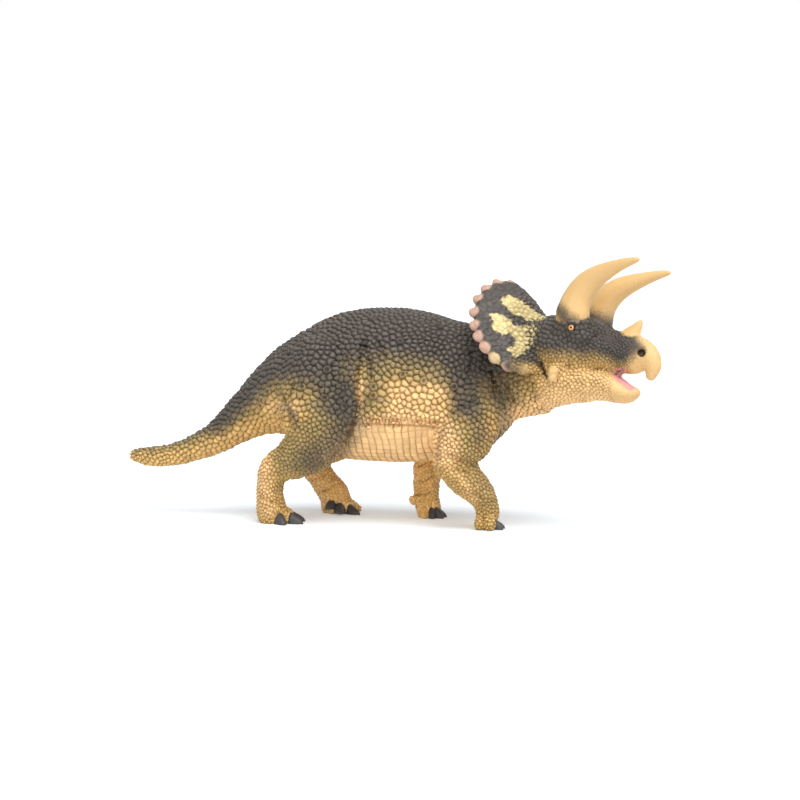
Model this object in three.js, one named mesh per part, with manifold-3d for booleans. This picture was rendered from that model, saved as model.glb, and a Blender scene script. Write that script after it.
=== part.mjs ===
// Solid vinyl figure of a walking triceratops, moulded as separate pieces that plug together.
//
// The torso carries everything. Each leg seats in a pocket in the torso's side with a round peg in its
// root. The tail meets the rump on a flat seam and has a peg of its own. The head plugs onto the front of
// the neck. The lower jaw closes the head from below, and the three horns are rooted in the skull.
//
// Frame: +X is the way the animal walks, +Y is its left, +Z is up. The origin is on the ground, below the
// middle of the figure. Lengths are in millimetres and angles in degrees.
//
// The fleshy pieces are skins lofted through sections along a centre line. Their tables give every section
// in shares of the sizes named here, so a piece keeps its form when a size changes.
import * as THREE from "three";
import { mergeVertices } from "three/addons/utils/BufferGeometryUtils.js";
import Module from "manifold-3d";

const wasm = await Module();
wasm.setup();

// Torso and tail
const torsoLength = 104;
const torsoHeight = 53;
const torsoWidth = 44;
const bellyClearance = 20.3;
const rumpHeight = 17.8;
const rumpWidth = 16.4;
const neckTurn = 4;
const neckDome = 3.5;
const tailLength = 47.2;
const tailDrop = 17.2;
const tailSwing = 5;
const tailTipDome = 1.5;

// Legs
const thighDepth = 27.6;
const thighWidth = 15.8;
const thighDome = 6.5;
const armDepth = 20.4;
const armWidth = 13.6;
const armDome = 3;
const hindToeReach = 10.2;
const hindToeWidth = 4.6;
const foreToeReach = 6.2;
const foreToeWidth = 3.9;

// Head
const skullLength = 49.5;
const skullHeight = 22;
const skullWidth = 23.6;
const beakDrop = 8;
const beakDepth = 7.8;
const beakWidth = 6.4;
const jawLength = 34.5;
const jawHeight = 15;
const jawWidth = 19;
const tongueLength = 10;
const tongueWidth = 5.2;
const tongueThickness = 2;
const browLength = 17;
const browHeight = 13;
const browWidth = 7.8;
const frillReach = 19;
const frillHeight = 26.3;
const frillHalfWidth = 23.6;
const frillThickness = 2.4;
const scallopRise = 1.5;
const eyeDiameter = 3.4;
const eyeProud = 0.5;
const nostrilDiameter = 2.8;
const browHornRise = 20;
const browHornReach = 24;
const browHornSpread = 3.2;
const browHornDiameter = 11.4;
const noseHornRise = 6.3;
const noseHornDiameter = 7.6;
const cheekHornLength = 5.6;
const cheekHornDiameter = 5.2;

// Place and tilt of the head on the neck
const skullSetBack = 5.3;
const skullLift = 4.9;
const headYawDegrees = -21;
const headPitchDegrees = 0;
const headRollDegrees = -14;

// Joining
const seamGap = 0.3;
const legPegDiameter = 6;
const legPegLength = 3.2;
const tailPegDiameter = 7;
const tailPegLength = 7;
const headPegDiameter = 8;
const headPegLength = 7;
const rootDepth = 3;
const cutOverrun = 5;

// Fineness of the meshes
const torsoSides = 24;
const limbSides = 14;
const hornSides = 10;
const smallSides = 8;
const domeRings = 2;
const bendShare = 0.07;

const spineHeight = bellyClearance + torsoHeight / 2;
const yAxis = new THREE.Vector3(0, 1, 0);

const hidePaint = new THREE.MeshStandardMaterial({ color: 0x6f6750, roughness: 0.72, metalness: 0 });
const limbPaint = new THREE.MeshStandardMaterial({ color: 0xa08a5a, roughness: 0.72, metalness: 0 });
const tailPaint = new THREE.MeshStandardMaterial({ color: 0xb0935f, roughness: 0.72, metalness: 0 });
const facePaint = new THREE.MeshStandardMaterial({ color: 0x6a6258, roughness: 0.68, metalness: 0 });
const jawPaint = new THREE.MeshStandardMaterial({ color: 0xd9b077, roughness: 0.68, metalness: 0 });
const hornPaint = new THREE.MeshStandardMaterial({ color: 0xf0c489, roughness: 0.5, metalness: 0 });

// Turns a closed geometry into a solid for cutting and joining.
function solidOf(geometry) {
  const bare = geometry.clone();
  bare.deleteAttribute("normal");
  bare.deleteAttribute("uv");
  const merged = mergeVertices(bare);
  const vertProperties = new Float32Array(merged.attributes.position.array);
  return new wasm.Manifold(
    new wasm.Mesh({ numProp: 3, vertProperties, triVerts: new Uint32Array(merged.index.array) }),
  );
}

// Turns a solid back into a named mesh.
function meshOf(name, solid, material) {
  const { vertProperties, triVerts, numProp, numVert } = solid.getMesh();
  const positions = new Float32Array(numVert * 3);
  for (let i = 0; i < numVert; i += 1) {
    positions.set(vertProperties.subarray(i * numProp, i * numProp + 3), i * 3);
  }
  const geometry = new THREE.BufferGeometry();
  geometry.setAttribute("position", new THREE.BufferAttribute(positions, 3));
  geometry.setIndex(new THREE.BufferAttribute(triVerts, 1));
  geometry.computeVertexNormals();
  const mesh = new THREE.Mesh(geometry, material);
  mesh.name = name;
  return mesh;
}

// The one body that counts, where a cut leaves crumbs along a seam.
function largest(solid) {
  return solid.decompose().reduce((best, piece) => (piece.volume() > best.volume() ? piece : best));
}

// A section of a skin: where it is, half its height and width, and how much wider it is below than above.
function section(x, y, z, halfHeight, halfWidth, bellied = 0) {
  return { at: new THREE.Vector3(x, y, z), size: new THREE.Vector3(halfHeight, halfWidth, bellied) };
}

// A closed skin through the sections from one index to another. Each ring is square to the centre line,
// with its width along Y. A dome of a given length closes each end, and grow stands the skin off all over.
function loft(sections, { rings, sides, from = 0, to = sections.length - 1, domes = [0, 0], grow = 0 }) {
  const last = sections.length - 1;
  const line = new THREE.CatmullRomCurve3(sections.map((s) => s.at));
  const sizes = new THREE.CatmullRomCurve3(sections.map((s) => s.size), false, "catmullrom", 0.5);
  const positions = [];
  let ringCount = 0;

  // The way a ring faces, taken over a stretch of the line so that rings don't cross at a bend.
  function heading(at) {
    const ahead = line.getPoint(Math.min(at + bendShare, 1));
    return ahead.sub(line.getPoint(Math.max(at - bendShare, 0))).normalize();
  }

  function addRing(share, along, scale) {
    const at = Math.min(Math.max(share, 0), 1);
    const centre = line.getPoint(at);
    const tangent = heading(at);
    const sideways = yAxis.clone().addScaledVector(tangent, -yAxis.dot(tangent)).normalize();
    const upward = tangent.clone().cross(sideways);
    const size = sizes.getPoint(at);
    centre.addScaledVector(tangent, along);
    for (let k = 0; k < sides; k += 1) {
      const angle = (2 * Math.PI * k) / sides;
      const wide = (size.y + grow) * scale * Math.cos(angle) * (1 - size.z * Math.sin(angle));
      const high = (size.x + grow) * scale * Math.sin(angle);
      const point = centre.clone().addScaledVector(sideways, wide).addScaledVector(upward, high);
      positions.push(point.x, point.y, point.z);
    }
    ringCount += 1;
  }

  const [startDome, endDome] = domes.map((length) => (length > 0 ? length + grow : 0));
  for (let d = domeRings; startDome > 0 && d > 0; d -= 1) {
    const turn = (Math.PI / 2) * (d / (domeRings + 1));
    addRing(from / last, -startDome * Math.sin(turn), Math.cos(turn));
  }
  const bareEnds = domes.map((length) => (length > 0 ? 0 : grow));
  for (let r = 0; r <= rings; r += 1) {
    const ends = r === 0 ? -bareEnds[0] : r === rings ? bareEnds[1] : 0;
    addRing((from + ((to - from) * r) / rings) / last, ends, 1);
  }
  for (let d = 1; endDome > 0 && d <= domeRings; d += 1) {
    const turn = (Math.PI / 2) * (d / (domeRings + 1));
    addRing(to / last, endDome * Math.sin(turn), Math.cos(turn));
  }

  const index = [];
  for (let r = 0; r < ringCount - 1; r += 1) {
    for (let k = 0; k < sides; k += 1) {
      const a = r * sides + k;
      const b = r * sides + ((k + 1) % sides);
      index.push(a, b, b + sides, a, b + sides, a + sides);
    }
  }
  const poles = [
    { share: from / last, along: -startDome - bareEnds[0], ring: 0, flip: true },
    { share: to / last, along: endDome + bareEnds[1], ring: ringCount - 1, flip: false },
  ];
  for (const { share, along, ring, flip } of poles) {
    const at = Math.min(Math.max(share, 0), 1);
    const pole = line.getPoint(at).addScaledVector(heading(at), along);
    const centre = positions.length / 3;
    positions.push(pole.x, pole.y, pole.z);
    for (let k = 0; k < sides; k += 1) {
      const a = ring * sides + k;
      const b = ring * sides + ((k + 1) % sides);
      index.push(...(flip ? [centre, b, a] : [centre, a, b]));
    }
  }
  const geometry = new THREE.BufferGeometry();
  geometry.setAttribute("position", new THREE.Float32BufferAttribute(positions, 3));
  geometry.setIndex(index);
  return solidOf(geometry);
}

// A round peg from a point along a direction.
function peg(start, direction, diameter, length) {
  const shape = new THREE.CylinderGeometry(diameter / 2, diameter / 2, length, limbSides);
  shape.translate(0, length / 2, 0);
  shape.applyQuaternion(new THREE.Quaternion().setFromUnitVectors(yAxis, direction.clone().normalize()));
  shape.translate(start.x, start.y, start.z);
  return solidOf(shape);
}

function ball(centre, diameter) {
  const shape = new THREE.SphereGeometry(diameter / 2, smallSides, smallSides);
  shape.translate(centre.x, centre.y, centre.z);
  return solidOf(shape);
}

// The spine runs from the tail's tip to the neck. Columns of the torso: along from the rump seam, sideways
// to the right, rise of the centre, half height, half width and bellied.
const torsoShares = [
  [0, 0, -0.19, null, null, 0],
  [0.067, 0, -0.113, 0.232, 0.262, 0.04],
  [0.135, 0, -0.057, 0.31, 0.347, 0.08],
  [0.212, 0, -0.043, 0.4, 0.413, 0.12],
  [0.308, 0, -0.015, 0.474, 0.468, 0.14],
  [0.423, 0, 0, 0.496, 0.5, 0.14],
  [0.519, 0, 0, 0.496, 0.5, 0.14],
  [0.615, 0, -0.006, 0.475, 0.473, 0.13],
  [0.692, 0, -0.008, 0.449, 0.432, 0.12],
  [0.769, 0, 0.031, 0.397, 0.386, 0.1],
  [0.837, 0, 0.084, 0.31, 0.336, 0.08],
  [0.904, 0.25, 0.107, 0.285, 0.297, 0.06],
  [0.962, 0.65, 0.1, 0.262, 0.27, 0.04],
  [1, 1, 0.098, 0.247, 0.256, 0.04],
];

// Columns of the tail: behind the rump seam, drop, swing to the left, half height and half width.
const tailShares = [
  [0.127, 0.238, 0.02, 0.39, 0.41],
  [0.297, 0.576, 0.1, 0.292, 0.315],
  [0.456, 0.773, 0.25, 0.236, 0.247],
  [0.593, 0.919, 0.45, 0.213, 0.213],
  [0.763, 1, 0.75, 0.185, 0.177],
  [0.89, 1.012, 0.93, 0.155, 0.146],
  [0.96, 1, 1, 0.1, 0.095],
];

const rumpSeamX = -torsoLength / 2;
const torsoSections = torsoShares.map(([along, turn, rise, high, wide, bellied], i) =>
  section(
    rumpSeamX + along * torsoLength,
    -turn * neckTurn,
    spineHeight + rise * torsoHeight,
    i === 0 ? rumpHeight / 2 : high * torsoHeight,
    i === 0 ? rumpWidth / 2 : wide * torsoWidth,
    bellied,
  ),
);
const rumpSeam = torsoSections[0].at;
const neckEnd = torsoSections[torsoSections.length - 1].at;
const tailSections = tailShares.map(([behind, drop, swing, high, wide]) =>
  section(
    rumpSeam.x - behind * tailLength,
    swing * tailSwing,
    rumpSeam.z - drop * tailDrop,
    high * rumpHeight,
    wide * rumpWidth,
  ),
);
const spine = [...tailSections.reverse(), ...torsoSections];
const seamIndex = tailSections.length;
const seamStep = seamGap / rumpSeam.distanceTo(tailSections[seamIndex - 1].at);

// The four legs. Columns: forward of the root, sideways, height, half depth and half width. The haunch
// and the shoulder stand a little proud of the torso's side.
const haunchShares = [
  [0.06, 0.245, 1.12, 0.4, 0.44],
  [0.05, 0.283, 1.01, 0.46, 0.48],
  [0.036, 0.312, 0.88, 0.5, 0.5],
];
const rightHindShares = [
  ...haunchShares,
  [0.036, 0.352, 0.75, 0.49, 0.5],
  [0.01, 0.356, 0.606, 0.435, 0.47],
  [-0.042, 0.356, 0.496, 0.33, 0.418],
  [-0.153, 0.345, 0.423, 0.246, 0.354],
  [-0.253, 0.336, 0.371, 0.203, 0.316],
  [-0.295, 0.327, 0.3, 0.167, 0.291],
  [-0.301, 0.323, 0.212, 0.156, 0.278],
  [-0.299, 0.318, 0.125, 0.174, 0.291],
  [-0.279, 0.318, 0.038, 0.185, 0.316],
  [-0.27, 0.318, -0.02, 0.178, 0.31],
];
const leftHindShares = [
  ...haunchShares,
  [0.068, 0.34, 0.77, 0.471, 0.5],
  [0.068, 0.35, 0.615, 0.4, 0.452],
  [-0.009, 0.35, 0.49, 0.304, 0.395],
  [-0.12, 0.344, 0.404, 0.216, 0.35],
  [-0.147, 0.334, 0.333, 0.178, 0.316],
  [-0.095, 0.325, 0.254, 0.16, 0.291],
  [-0.04, 0.318, 0.187, 0.168, 0.285],
  [0.01, 0.316, 0.115, 0.188, 0.297],
  [0.03, 0.314, 0.038, 0.196, 0.316],
  [0.033, 0.314, -0.02, 0.196, 0.31],
];
const rightForeShares = [
  [0.035, 0.245, 1.02, 0.4, 0.46],
  [0.029, 0.3, 0.86, 0.5, 0.5],
  [0.009, 0.36, 0.73, 0.5, 0.5],
  [-0.031, 0.385, 0.61, 0.465, 0.488],
  [-0.091, 0.391, 0.5, 0.375, 0.458],
  [-0.067, 0.382, 0.414, 0.314, 0.426],
  [-0.001, 0.366, 0.328, 0.29, 0.382],
  [0.075, 0.345, 0.252, 0.235, 0.346],
  [0.115, 0.327, 0.188, 0.19, 0.301],
  [0.123, 0.314, 0.124, 0.186, 0.287],
  [0.13, 0.307, 0.044, 0.18, 0.3],
  [0.128, 0.305, -0.02, 0.165, 0.28],
];
const leftForeShares = [
  [0, 0.245, 1.02, 0.4, 0.46],
  [-0.051, 0.3, 0.87, 0.49, 0.5],
  [-0.131, 0.352, 0.74, 0.49, 0.5],
  [-0.231, 0.366, 0.61, 0.435, 0.475],
  [-0.327, 0.35, 0.49, 0.343, 0.412],
  [-0.383, 0.32, 0.38, 0.27, 0.368],
  [-0.401, 0.29, 0.28, 0.23, 0.324],
  [-0.407, 0.27, 0.19, 0.206, 0.301],
  [-0.395, 0.24, 0.11, 0.206, 0.309],
  [-0.368, 0.215, 0.04, 0.2, 0.3],
  [-0.362, 0.205, -0.02, 0.185, 0.28],
];

// The toes fan out about the foot's heading. Angles are to the animal's midline, and the last number is
// how far each reaches of the foot's longest toe.
const hindToeShares = [
  [-58, 0.8],
  [-18, 1],
  [20, 1],
  [58, 0.8],
];
const foreToeShares = [
  [-84, 0.72],
  [-42, 0.8],
  [-4, 1],
  [34, 1],
  [72, 0.84],
];

const hindRoot = { alongShare: 0.24, riseShare: 0.098 };
const foreRoot = { alongShare: 0.76, riseShare: 0.06 };
const hindLeg = {
  root: hindRoot,
  depth: thighDepth,
  width: thighWidth,
  dome: thighDome,
  pegSection: 2,
  toes: hindToeShares,
  toeReach: hindToeReach,
  toeWidth: hindToeWidth,
};
const foreLeg = {
  root: foreRoot,
  depth: armDepth,
  width: armWidth,
  dome: armDome,
  pegSection: 1,
  toes: foreToeShares,
  toeReach: foreToeReach,
  toeWidth: foreToeWidth,
};
const legs = [
  { name: "right_hind_leg", ...hindLeg, shares: rightHindShares, side: -1, headingDegrees: 2 },
  { name: "left_hind_leg", ...hindLeg, shares: leftHindShares, side: 1, headingDegrees: -50 },
  { name: "right_fore_leg", ...foreLeg, shares: rightForeShares, side: -1, headingDegrees: -20 },
  { name: "left_fore_leg", ...foreLeg, shares: leftForeShares, side: 1, headingDegrees: -35 },
];

// A toe: thick at its root, highest at the knuckle and blunt at its hoof-like nail.
const toeShares = [
  [0.2, 0.56, 0.5, 0.46],
  [0.55, 0.5, 0.46, 0.5],
  [0.8, 0.34, 0.35, 0.46],
  [0.92, 0.24, 0.25, 0.36],
];

function toe(foot, angle, reach, width) {
  const turn = THREE.MathUtils.degToRad(angle);
  const sections = toeShares.map(([out, rise, high, wide]) =>
    section(out * reach, 0, rise * width, high * width, wide * width),
  );
  const shape = loft(sections, { rings: 3, sides: smallSides, domes: [width / 4, width / 8] });
  const place = new THREE.Matrix4().makeRotationZ(turn).setPosition(foot.x, foot.y, 0);
  return shape.transform(place.elements);
}

// A leg with its root in the torso, its peg, its toes and a flat sole on the ground.
function legSolid(leg, grow) {
  const { root, depth, width, dome, pegSection, shares, side } = leg;
  const { headingDegrees, toes, toeReach, toeWidth } = leg;
  const rootX = rumpSeamX + root.alongShare * torsoLength;
  const rootHeight = spineHeight + root.riseShare * torsoHeight;
  const sections = shares.map(([forward, out, height, deep, wide]) =>
    section(
      rootX + forward * rootHeight,
      side * out * torsoWidth,
      height * rootHeight,
      deep * depth,
      wide * width,
    ),
  );
  let solid = loft(sections, { rings: 18, sides: limbSides, domes: [dome, 0], grow });
  const inward = new THREE.Vector3(0, -side, 0);
  const rootCentre = sections[pegSection].at.clone();
  const pegReach = width / 2 + legPegLength + grow;
  solid = solid.add(peg(rootCentre, inward, legPegDiameter + 2 * grow, pegReach));
  if (grow === 0) {
    const foot = sections[sections.length - 1].at;
    for (const [angle, reachShare] of toes) {
      solid = solid.add(toe(foot, headingDegrees + side * -angle, toeReach * reachShare, toeWidth));
    }
    const slab = new THREE.BoxGeometry(torsoLength, torsoLength, cutOverrun);
    slab.translate(foot.x, foot.y, -cutOverrun / 2);
    solid = solid.subtract(solidOf(slab));
  }
  return solid;
}

// The head, in its own frame: x forward from the neck, y to its left, z up. Columns of the skull: forward,
// rise of the centre, half height, half width and bellied. The beak's last sections turn down into its tip.
const skullShares = [
  [-0.02, 0.19, 0.4, 0.4, 0.05],
  [0.06, 0.2, 0.47, 0.46, 0.05],
  [0.17, 0.205, 0.5, 0.5, 0.06],
  [0.28, 0.21, 0.49, 0.5, 0.08],
  [0.38, 0.225, 0.46, 0.465, 0.1],
  [0.48, 0.225, 0.4, 0.375, 0.12],
  [0.57, 0.215, 0.33, 0.305, 0.12],
  [0.66, 0.198, 0.3, 0.245, 0.1],
  [0.76, 0.182, 0.29, 0.2, 0.08],
];
const beakShares = [
  [0.848, 0.1, 0.76, 0.6],
  [0.91, 0.24, 0.53, 0.5],
  [0.938, 0.6, 0.34, 0.36],
  [0.925, 0.97, 0.17, 0.2],
];
const beakRootRiseShare = 0.175;
const beakTipDome = 0.6;
const skullDome = 2;
const jawShares = [
  [0, -0.467, 0.6, 0.47],
  [0.2, -0.467, 0.467, 0.49],
  [0.38, -0.48, 0.393, 0.44],
  [0.56, -0.467, 0.327, 0.37],
  [0.67, -0.487, 0.333, 0.325],
  [0.76, -0.6, 0.247, 0.285],
  [0.85, -0.667, 0.187, 0.235],
  [0.93, -0.647, 0.127, 0.165],
  [0.98, -0.573, 0.073, 0.09],
];
const jawBelliedShare = -0.1;
const jawSetForward = 8;
const jawDome = 4;
const jawTipDome = 0.6;
const tongueShares = [
  [0, 0, 0.4, 0.42],
  [0.35, 0.02, 0.5, 0.5],
  [0.7, -0.18, 0.48, 0.44],
  [0.95, -0.24, 0.32, 0.26],
];
const tongueRootShares = [0.67, -0.36];

const skullSections = [
  ...skullShares.map(([x, rise, high, wide, bellied]) =>
    section(x * skullLength, 0, rise * skullHeight, high * skullHeight, wide * skullWidth, bellied),
  ),
  ...beakShares.map(([x, drop, deep, wide]) =>
    section(
      x * skullLength,
      0,
      beakRootRiseShare * skullHeight - drop * beakDrop,
      deep * beakDepth,
      wide * beakWidth,
    ),
  ),
];
const jawSections = jawShares.map(([x, rise, high, wide]) =>
  section(
    jawSetForward + x * jawLength,
    0,
    rise * jawHeight,
    high * jawHeight,
    wide * jawWidth,
    jawBelliedShare,
  ),
);
const tongueSections = tongueShares.map(([x, rise, high, wide]) =>
  section(
    tongueRootShares[0] * jawLength + jawSetForward + x * tongueLength,
    0,
    tongueRootShares[1] * jawHeight + rise * tongueLength,
    high * tongueThickness,
    wide * tongueWidth,
  ),
);

// The frill: a curved shield between its root on the skull and its scalloped rim. Both edges run from the
// crown, at the first row, down to the cheek. Columns: back from the neck, out to the side and rise.
const frillRimShares = [
  [0.655, 0, 0.995],
  [0.785, 0.33, 0.93],
  [0.842, 0.6, 0.74],
  [0.747, 0.83, 0.48],
  [0.58, 0.97, 0.24],
  [0.38, 1, 0.05],
  [0.153, 0.93, -0.13],
  [-0.137, 0.76, -0.24],
  [-0.363, 0.52, -0.24],
];
const frillRootShares = [
  [-0.116, 0, 0.5],
  [-0.105, 0.13, 0.48],
  [-0.105, 0.24, 0.42],
  [-0.137, 0.31, 0.32],
  [-0.19, 0.35, 0.2],
  [-0.263, 0.37, 0.08],
  [-0.337, 0.38, -0.03],
  [-0.42, 0.38, -0.12],
  [-0.495, 0.37, -0.18],
];
const frillCrownBulge = 1.4;
const scallopsPerSide = 10.5;
const stepsPerScallop = 3;
// Columns: the share of the way from root to rim, and the share of the thickness there.
const frillStepShares = [0, 0.4, 0.84, 0.96, 1];
const frillThicknessShares = [1.2, 1, 0.85, 1, 0.55];
const scallopStartShare = 0.84;
const frillTiltShare = 0.98;

function frillEdge(shares) {
  const points = shares.map(
    ([back, out, rise]) =>
      new THREE.Vector3(-back * frillReach, -out * frillHalfWidth, rise * frillHeight),
  );
  const mirrored = points.slice(1).map((p) => new THREE.Vector3(p.x, -p.y, p.z));
  return new THREE.CatmullRomCurve3([...mirrored.reverse(), ...points]);
}

function frillSolid(grow = 0) {
  const rim = frillEdge(frillRimShares);
  const root = frillEdge(frillRootShares);
  const around = 2 * scallopsPerSide * stepsPerScallop;
  const rows = frillStepShares.length;
  // A point of the shield's middle surface, at a share around it and a share of the way to the rim.
  function middle(u, t) {
    const inner = root.getPoint(u);
    const outer = rim.getPoint(u);
    const scallop = Math.sqrt(Math.abs(Math.sin(Math.PI * u * 2 * scallopsPerSide)));
    const outward = outer.clone().sub(inner);
    const point = inner.addScaledVector(outward, t);
    const rimShare = Math.max(0, (t - scallopStartShare) / (1 - scallopStartShare));
    point.addScaledVector(outward.normalize(), scallopRise * (scallop - 1) * rimShare + grow * (2 * t - 1));
    point.z += frillCrownBulge * Math.sin(Math.PI * t) * Math.sin(Math.PI * u);
    return point;
  }
  const positions = [];
  const step = 1 / around;
  for (const face of [1, -1]) {
    for (let i = 0; i <= around; i += 1) {
      for (let j = 0; j < rows; j += 1) {
        const [u, t] = [i * step, frillStepShares[j]];
        const tilt = t * frillTiltShare;
        const across = middle(Math.min(u + step, 1), tilt).sub(middle(Math.max(u - step, 0), tilt));
        const outwards = rim.getPoint(u).sub(root.getPoint(u));
        const normal = across.clone().cross(outwards).normalize();
        const half = (frillThickness * frillThicknessShares[j]) / 2 + grow;
        const point = middle(u, t).addScaledVector(normal, face * half);
        const pastEnd = i === 0 ? -grow : i === around ? grow : 0;
        point.addScaledVector(across.normalize(), pastEnd);
        positions.push(point.x, point.y, point.z);
      }
    }
  }
  const index = [];
  const back = (around + 1) * rows;
  function quad(a, b, c, d) {
    index.push(a, b, c, a, c, d);
  }
  for (let i = 0; i < around; i += 1) {
    for (let j = 0; j < rows - 1; j += 1) {
      const a = i * rows + j;
      quad(a, a + rows, a + rows + 1, a + 1);
      quad(back + a, back + a + 1, back + a + rows + 1, back + a + rows);
    }
    const rootSide = i * rows;
    const rimSide = rootSide + rows - 1;
    quad(rimSide, rimSide + rows, back + rimSide + rows, back + rimSide);
    quad(rootSide, back + rootSide, back + rootSide + rows, rootSide + rows);
  }
  for (let j = 0; j < rows - 1; j += 1) {
    const end = around * rows + j;
    quad(j, j + 1, back + j + 1, back + j);
    quad(end, back + end, back + end + 1, end + 1);
  }
  const geometry = new THREE.BufferGeometry();
  geometry.setAttribute("position", new THREE.Float32BufferAttribute(positions, 3));
  geometry.setIndex(index);
  return solidOf(geometry);
}

// The brow horns sweep up out of the skull and then forward. Columns: reach, rise, spread, half size.
const browHornShares = [
  [-0.02, -0.04, -0.03, 0.47],
  [-0.015, 0.06, 0.03, 0.53],
  [0, 0.187, 0.09, 0.49],
  [0.03, 0.333, 0.13, 0.445],
  [0.11, 0.503, 0.17, 0.412],
  [0.238, 0.655, 0.28, 0.355],
  [0.425, 0.785, 0.5, 0.275],
  [0.66, 0.9, 0.78, 0.18],
  [0.83, 0.968, 0.91, 0.125],
  [0.97, 1.01, 0.99, 0.072],
];
const browHornFlatShare = 0.76;
const browHornRootShares = { x: 0.376, y: 0.35, z: 0.62 };
const browHornTipDome = 0.7;
const noseHornShares = [
  [-0.04, -0.3, 0.46, 0.3],
  [0, 0, 0.5, 0.34],
  [0.2, 0.34, 0.33, 0.25],
  [0.42, 0.68, 0.19, 0.17],
  [0.56, 0.93, 0.08, 0.09],
];
const noseHornRootShares = { x: 0.735, z: 0.425 };
const noseHornTipDome = 0.4;

function browHorn(side, grow = 0) {
  const root = new THREE.Vector3(
    browHornRootShares.x * skullLength,
    side * browHornRootShares.y * skullWidth,
    browHornRootShares.z * skullHeight,
  );
  const sections = browHornShares.map(([reach, rise, spread, half]) => {
    const size = half * browHornDiameter;
    const flat = THREE.MathUtils.lerp(browHornFlatShare, 1, Math.max(reach, 0));
    return section(
      root.x + reach * browHornReach,
      root.y + side * spread * browHornSpread,
      root.z + rise * browHornRise,
      size,
      size * flat,
    );
  });
  return loft(sections, { rings: 14, sides: hornSides, domes: [rootDepth / 2, browHornTipDome], grow });
}

function noseHorn(grow = 0) {
  const sections = noseHornShares.map(([forward, rise, deep, wide]) =>
    section(
      noseHornRootShares.x * skullLength + forward * noseHornRise,
      0,
      noseHornRootShares.z * skullHeight + rise * noseHornRise,
      deep * noseHornDiameter,
      wide * noseHornDiameter,
    ),
  );
  return loft(sections, { rings: 7, sides: hornSides, domes: [rootDepth / 4, noseHornTipDome], grow });
}

// The brow: a boss over each eye that carries the root of the horn.
const browShares = { x: 0.375, y: 0.335, z: 0.425 };

function brow(side) {
  const shape = new THREE.SphereGeometry(1 / 2, hornSides, smallSides);
  shape.rotateX(Math.PI / 2);
  shape.scale(browLength, browWidth, browHeight);
  shape.translate(browShares.x * skullLength, side * browShares.y * skullWidth, browShares.z * skullHeight);
  return solidOf(shape);
}

const cheekHornRootShares = { x: 0.31, y: 0.43, z: -0.17 };
const cheekHornLean = { outward: 0.42, down: 0.9 };
const cheekHornShares = [
  [-0.5, 0.4],
  [0, 0.5],
  [0.45, 0.42],
  [0.85, 0.26],
];

function cheekHorn(side, grow = 0) {
  const sections = cheekHornShares.map(([out, half]) =>
    section(
      cheekHornRootShares.x * skullLength,
      side * (cheekHornRootShares.y * skullWidth + cheekHornLean.outward * out * cheekHornLength),
      cheekHornRootShares.z * skullHeight - cheekHornLean.down * out * cheekHornLength,
      half * cheekHornDiameter,
      (half * cheekHornDiameter) / 2,
    ),
  );
  return loft(sections, { rings: 5, sides: smallSides, domes: [0, cheekHornDiameter / 8], grow });
}

// How far the head reaches sideways at a point of its profile, so that eyes and nostrils sit on its skin.
function headSideAt(x, z) {
  const line = new THREE.CatmullRomCurve3(skullSections.map((s) => s.at));
  const sizes = new THREE.CatmullRomCurve3(skullSections.map((s) => s.size), false, "catmullrom", 0.5);
  let best = 0;
  let nearest = Infinity;
  for (let share = 0; share <= 1; share += 1 / 256) {
    const off = Math.abs(line.getPoint(share).x - x);
    if (off < nearest) {
      nearest = off;
      best = share;
    }
  }
  const size = sizes.getPoint(best);
  const sine = THREE.MathUtils.clamp((z - line.getPoint(best).z) / size.x, -1, 1);
  const skullSide = size.y * Math.sqrt(1 - sine * sine) * (1 - size.z * sine);
  const browX = (x - browShares.x * skullLength) / (browLength / 2);
  const browZ = (z - browShares.z * skullHeight) / (browHeight / 2);
  const bulge = Math.sqrt(Math.max(1 - browX * browX - browZ * browZ, 0)) * (browWidth / 2);
  return Math.max(skullSide, bulge > 0 ? browShares.y * skullWidth + bulge : 0);
}

const eyeShares = { x: 0.4, z: 0.45 };
const nostrilShares = { x: 0.875, z: 0.17 };

function onSkull({ x, z }, side, proud) {
  const at = new THREE.Vector3(x * skullLength, 0, z * skullHeight);
  at.y = side * (headSideAt(at.x, at.z) + proud);
  return at;
}

function skinOf(sections, options) {
  return (grow) => loft(sections, { ...options, grow });
}

const skullSkin = skinOf(skullSections, { rings: 20, sides: 16, domes: [skullDome, beakTipDome] });
const jawSkin = skinOf(jawSections, { rings: 12, sides: limbSides, domes: [jawDome, jawTipDome] });

// The peg on the back of the skull, along the neck's own line.
const headFrame = new THREE.Group();
headFrame.position.set(neckEnd.x - skullSetBack, neckEnd.y, neckEnd.z + skullLift);
headFrame.rotation.set(
  THREE.MathUtils.degToRad(headRollDegrees),
  THREE.MathUtils.degToRad(headPitchDegrees),
  THREE.MathUtils.degToRad(headYawDegrees),
  "ZYX",
);
headFrame.updateMatrix();
const intoHead = headFrame.matrix.clone().invert();
const neckLine = torsoSections[torsoSections.length - 2].at.clone().sub(neckEnd).normalize();

function headPeg(grow) {
  const start = neckEnd.clone().addScaledVector(neckLine, -headPegLength - grow);
  const reach = 2 * headPegLength + skullSetBack + 2 * grow;
  return peg(start, neckLine, headPegDiameter + 2 * grow, reach);
}

function skullSolid() {
  let solid = skullSkin(0).add(frillSolid());
  for (const side of [-1, 1]) {
    solid = solid.add(cheekHorn(side)).add(brow(side));
    solid = solid.add(ball(onSkull(eyeShares, side, eyeProud - eyeDiameter / 2), eyeDiameter));
    solid = solid.subtract(ball(onSkull(nostrilShares, side, 0), nostrilDiameter));
    solid = solid.subtract(browHorn(side, seamGap));
  }
  solid = solid.subtract(noseHorn(seamGap));
  return solid.add(headPeg(0).transform(intoHead.elements));
}

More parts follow.
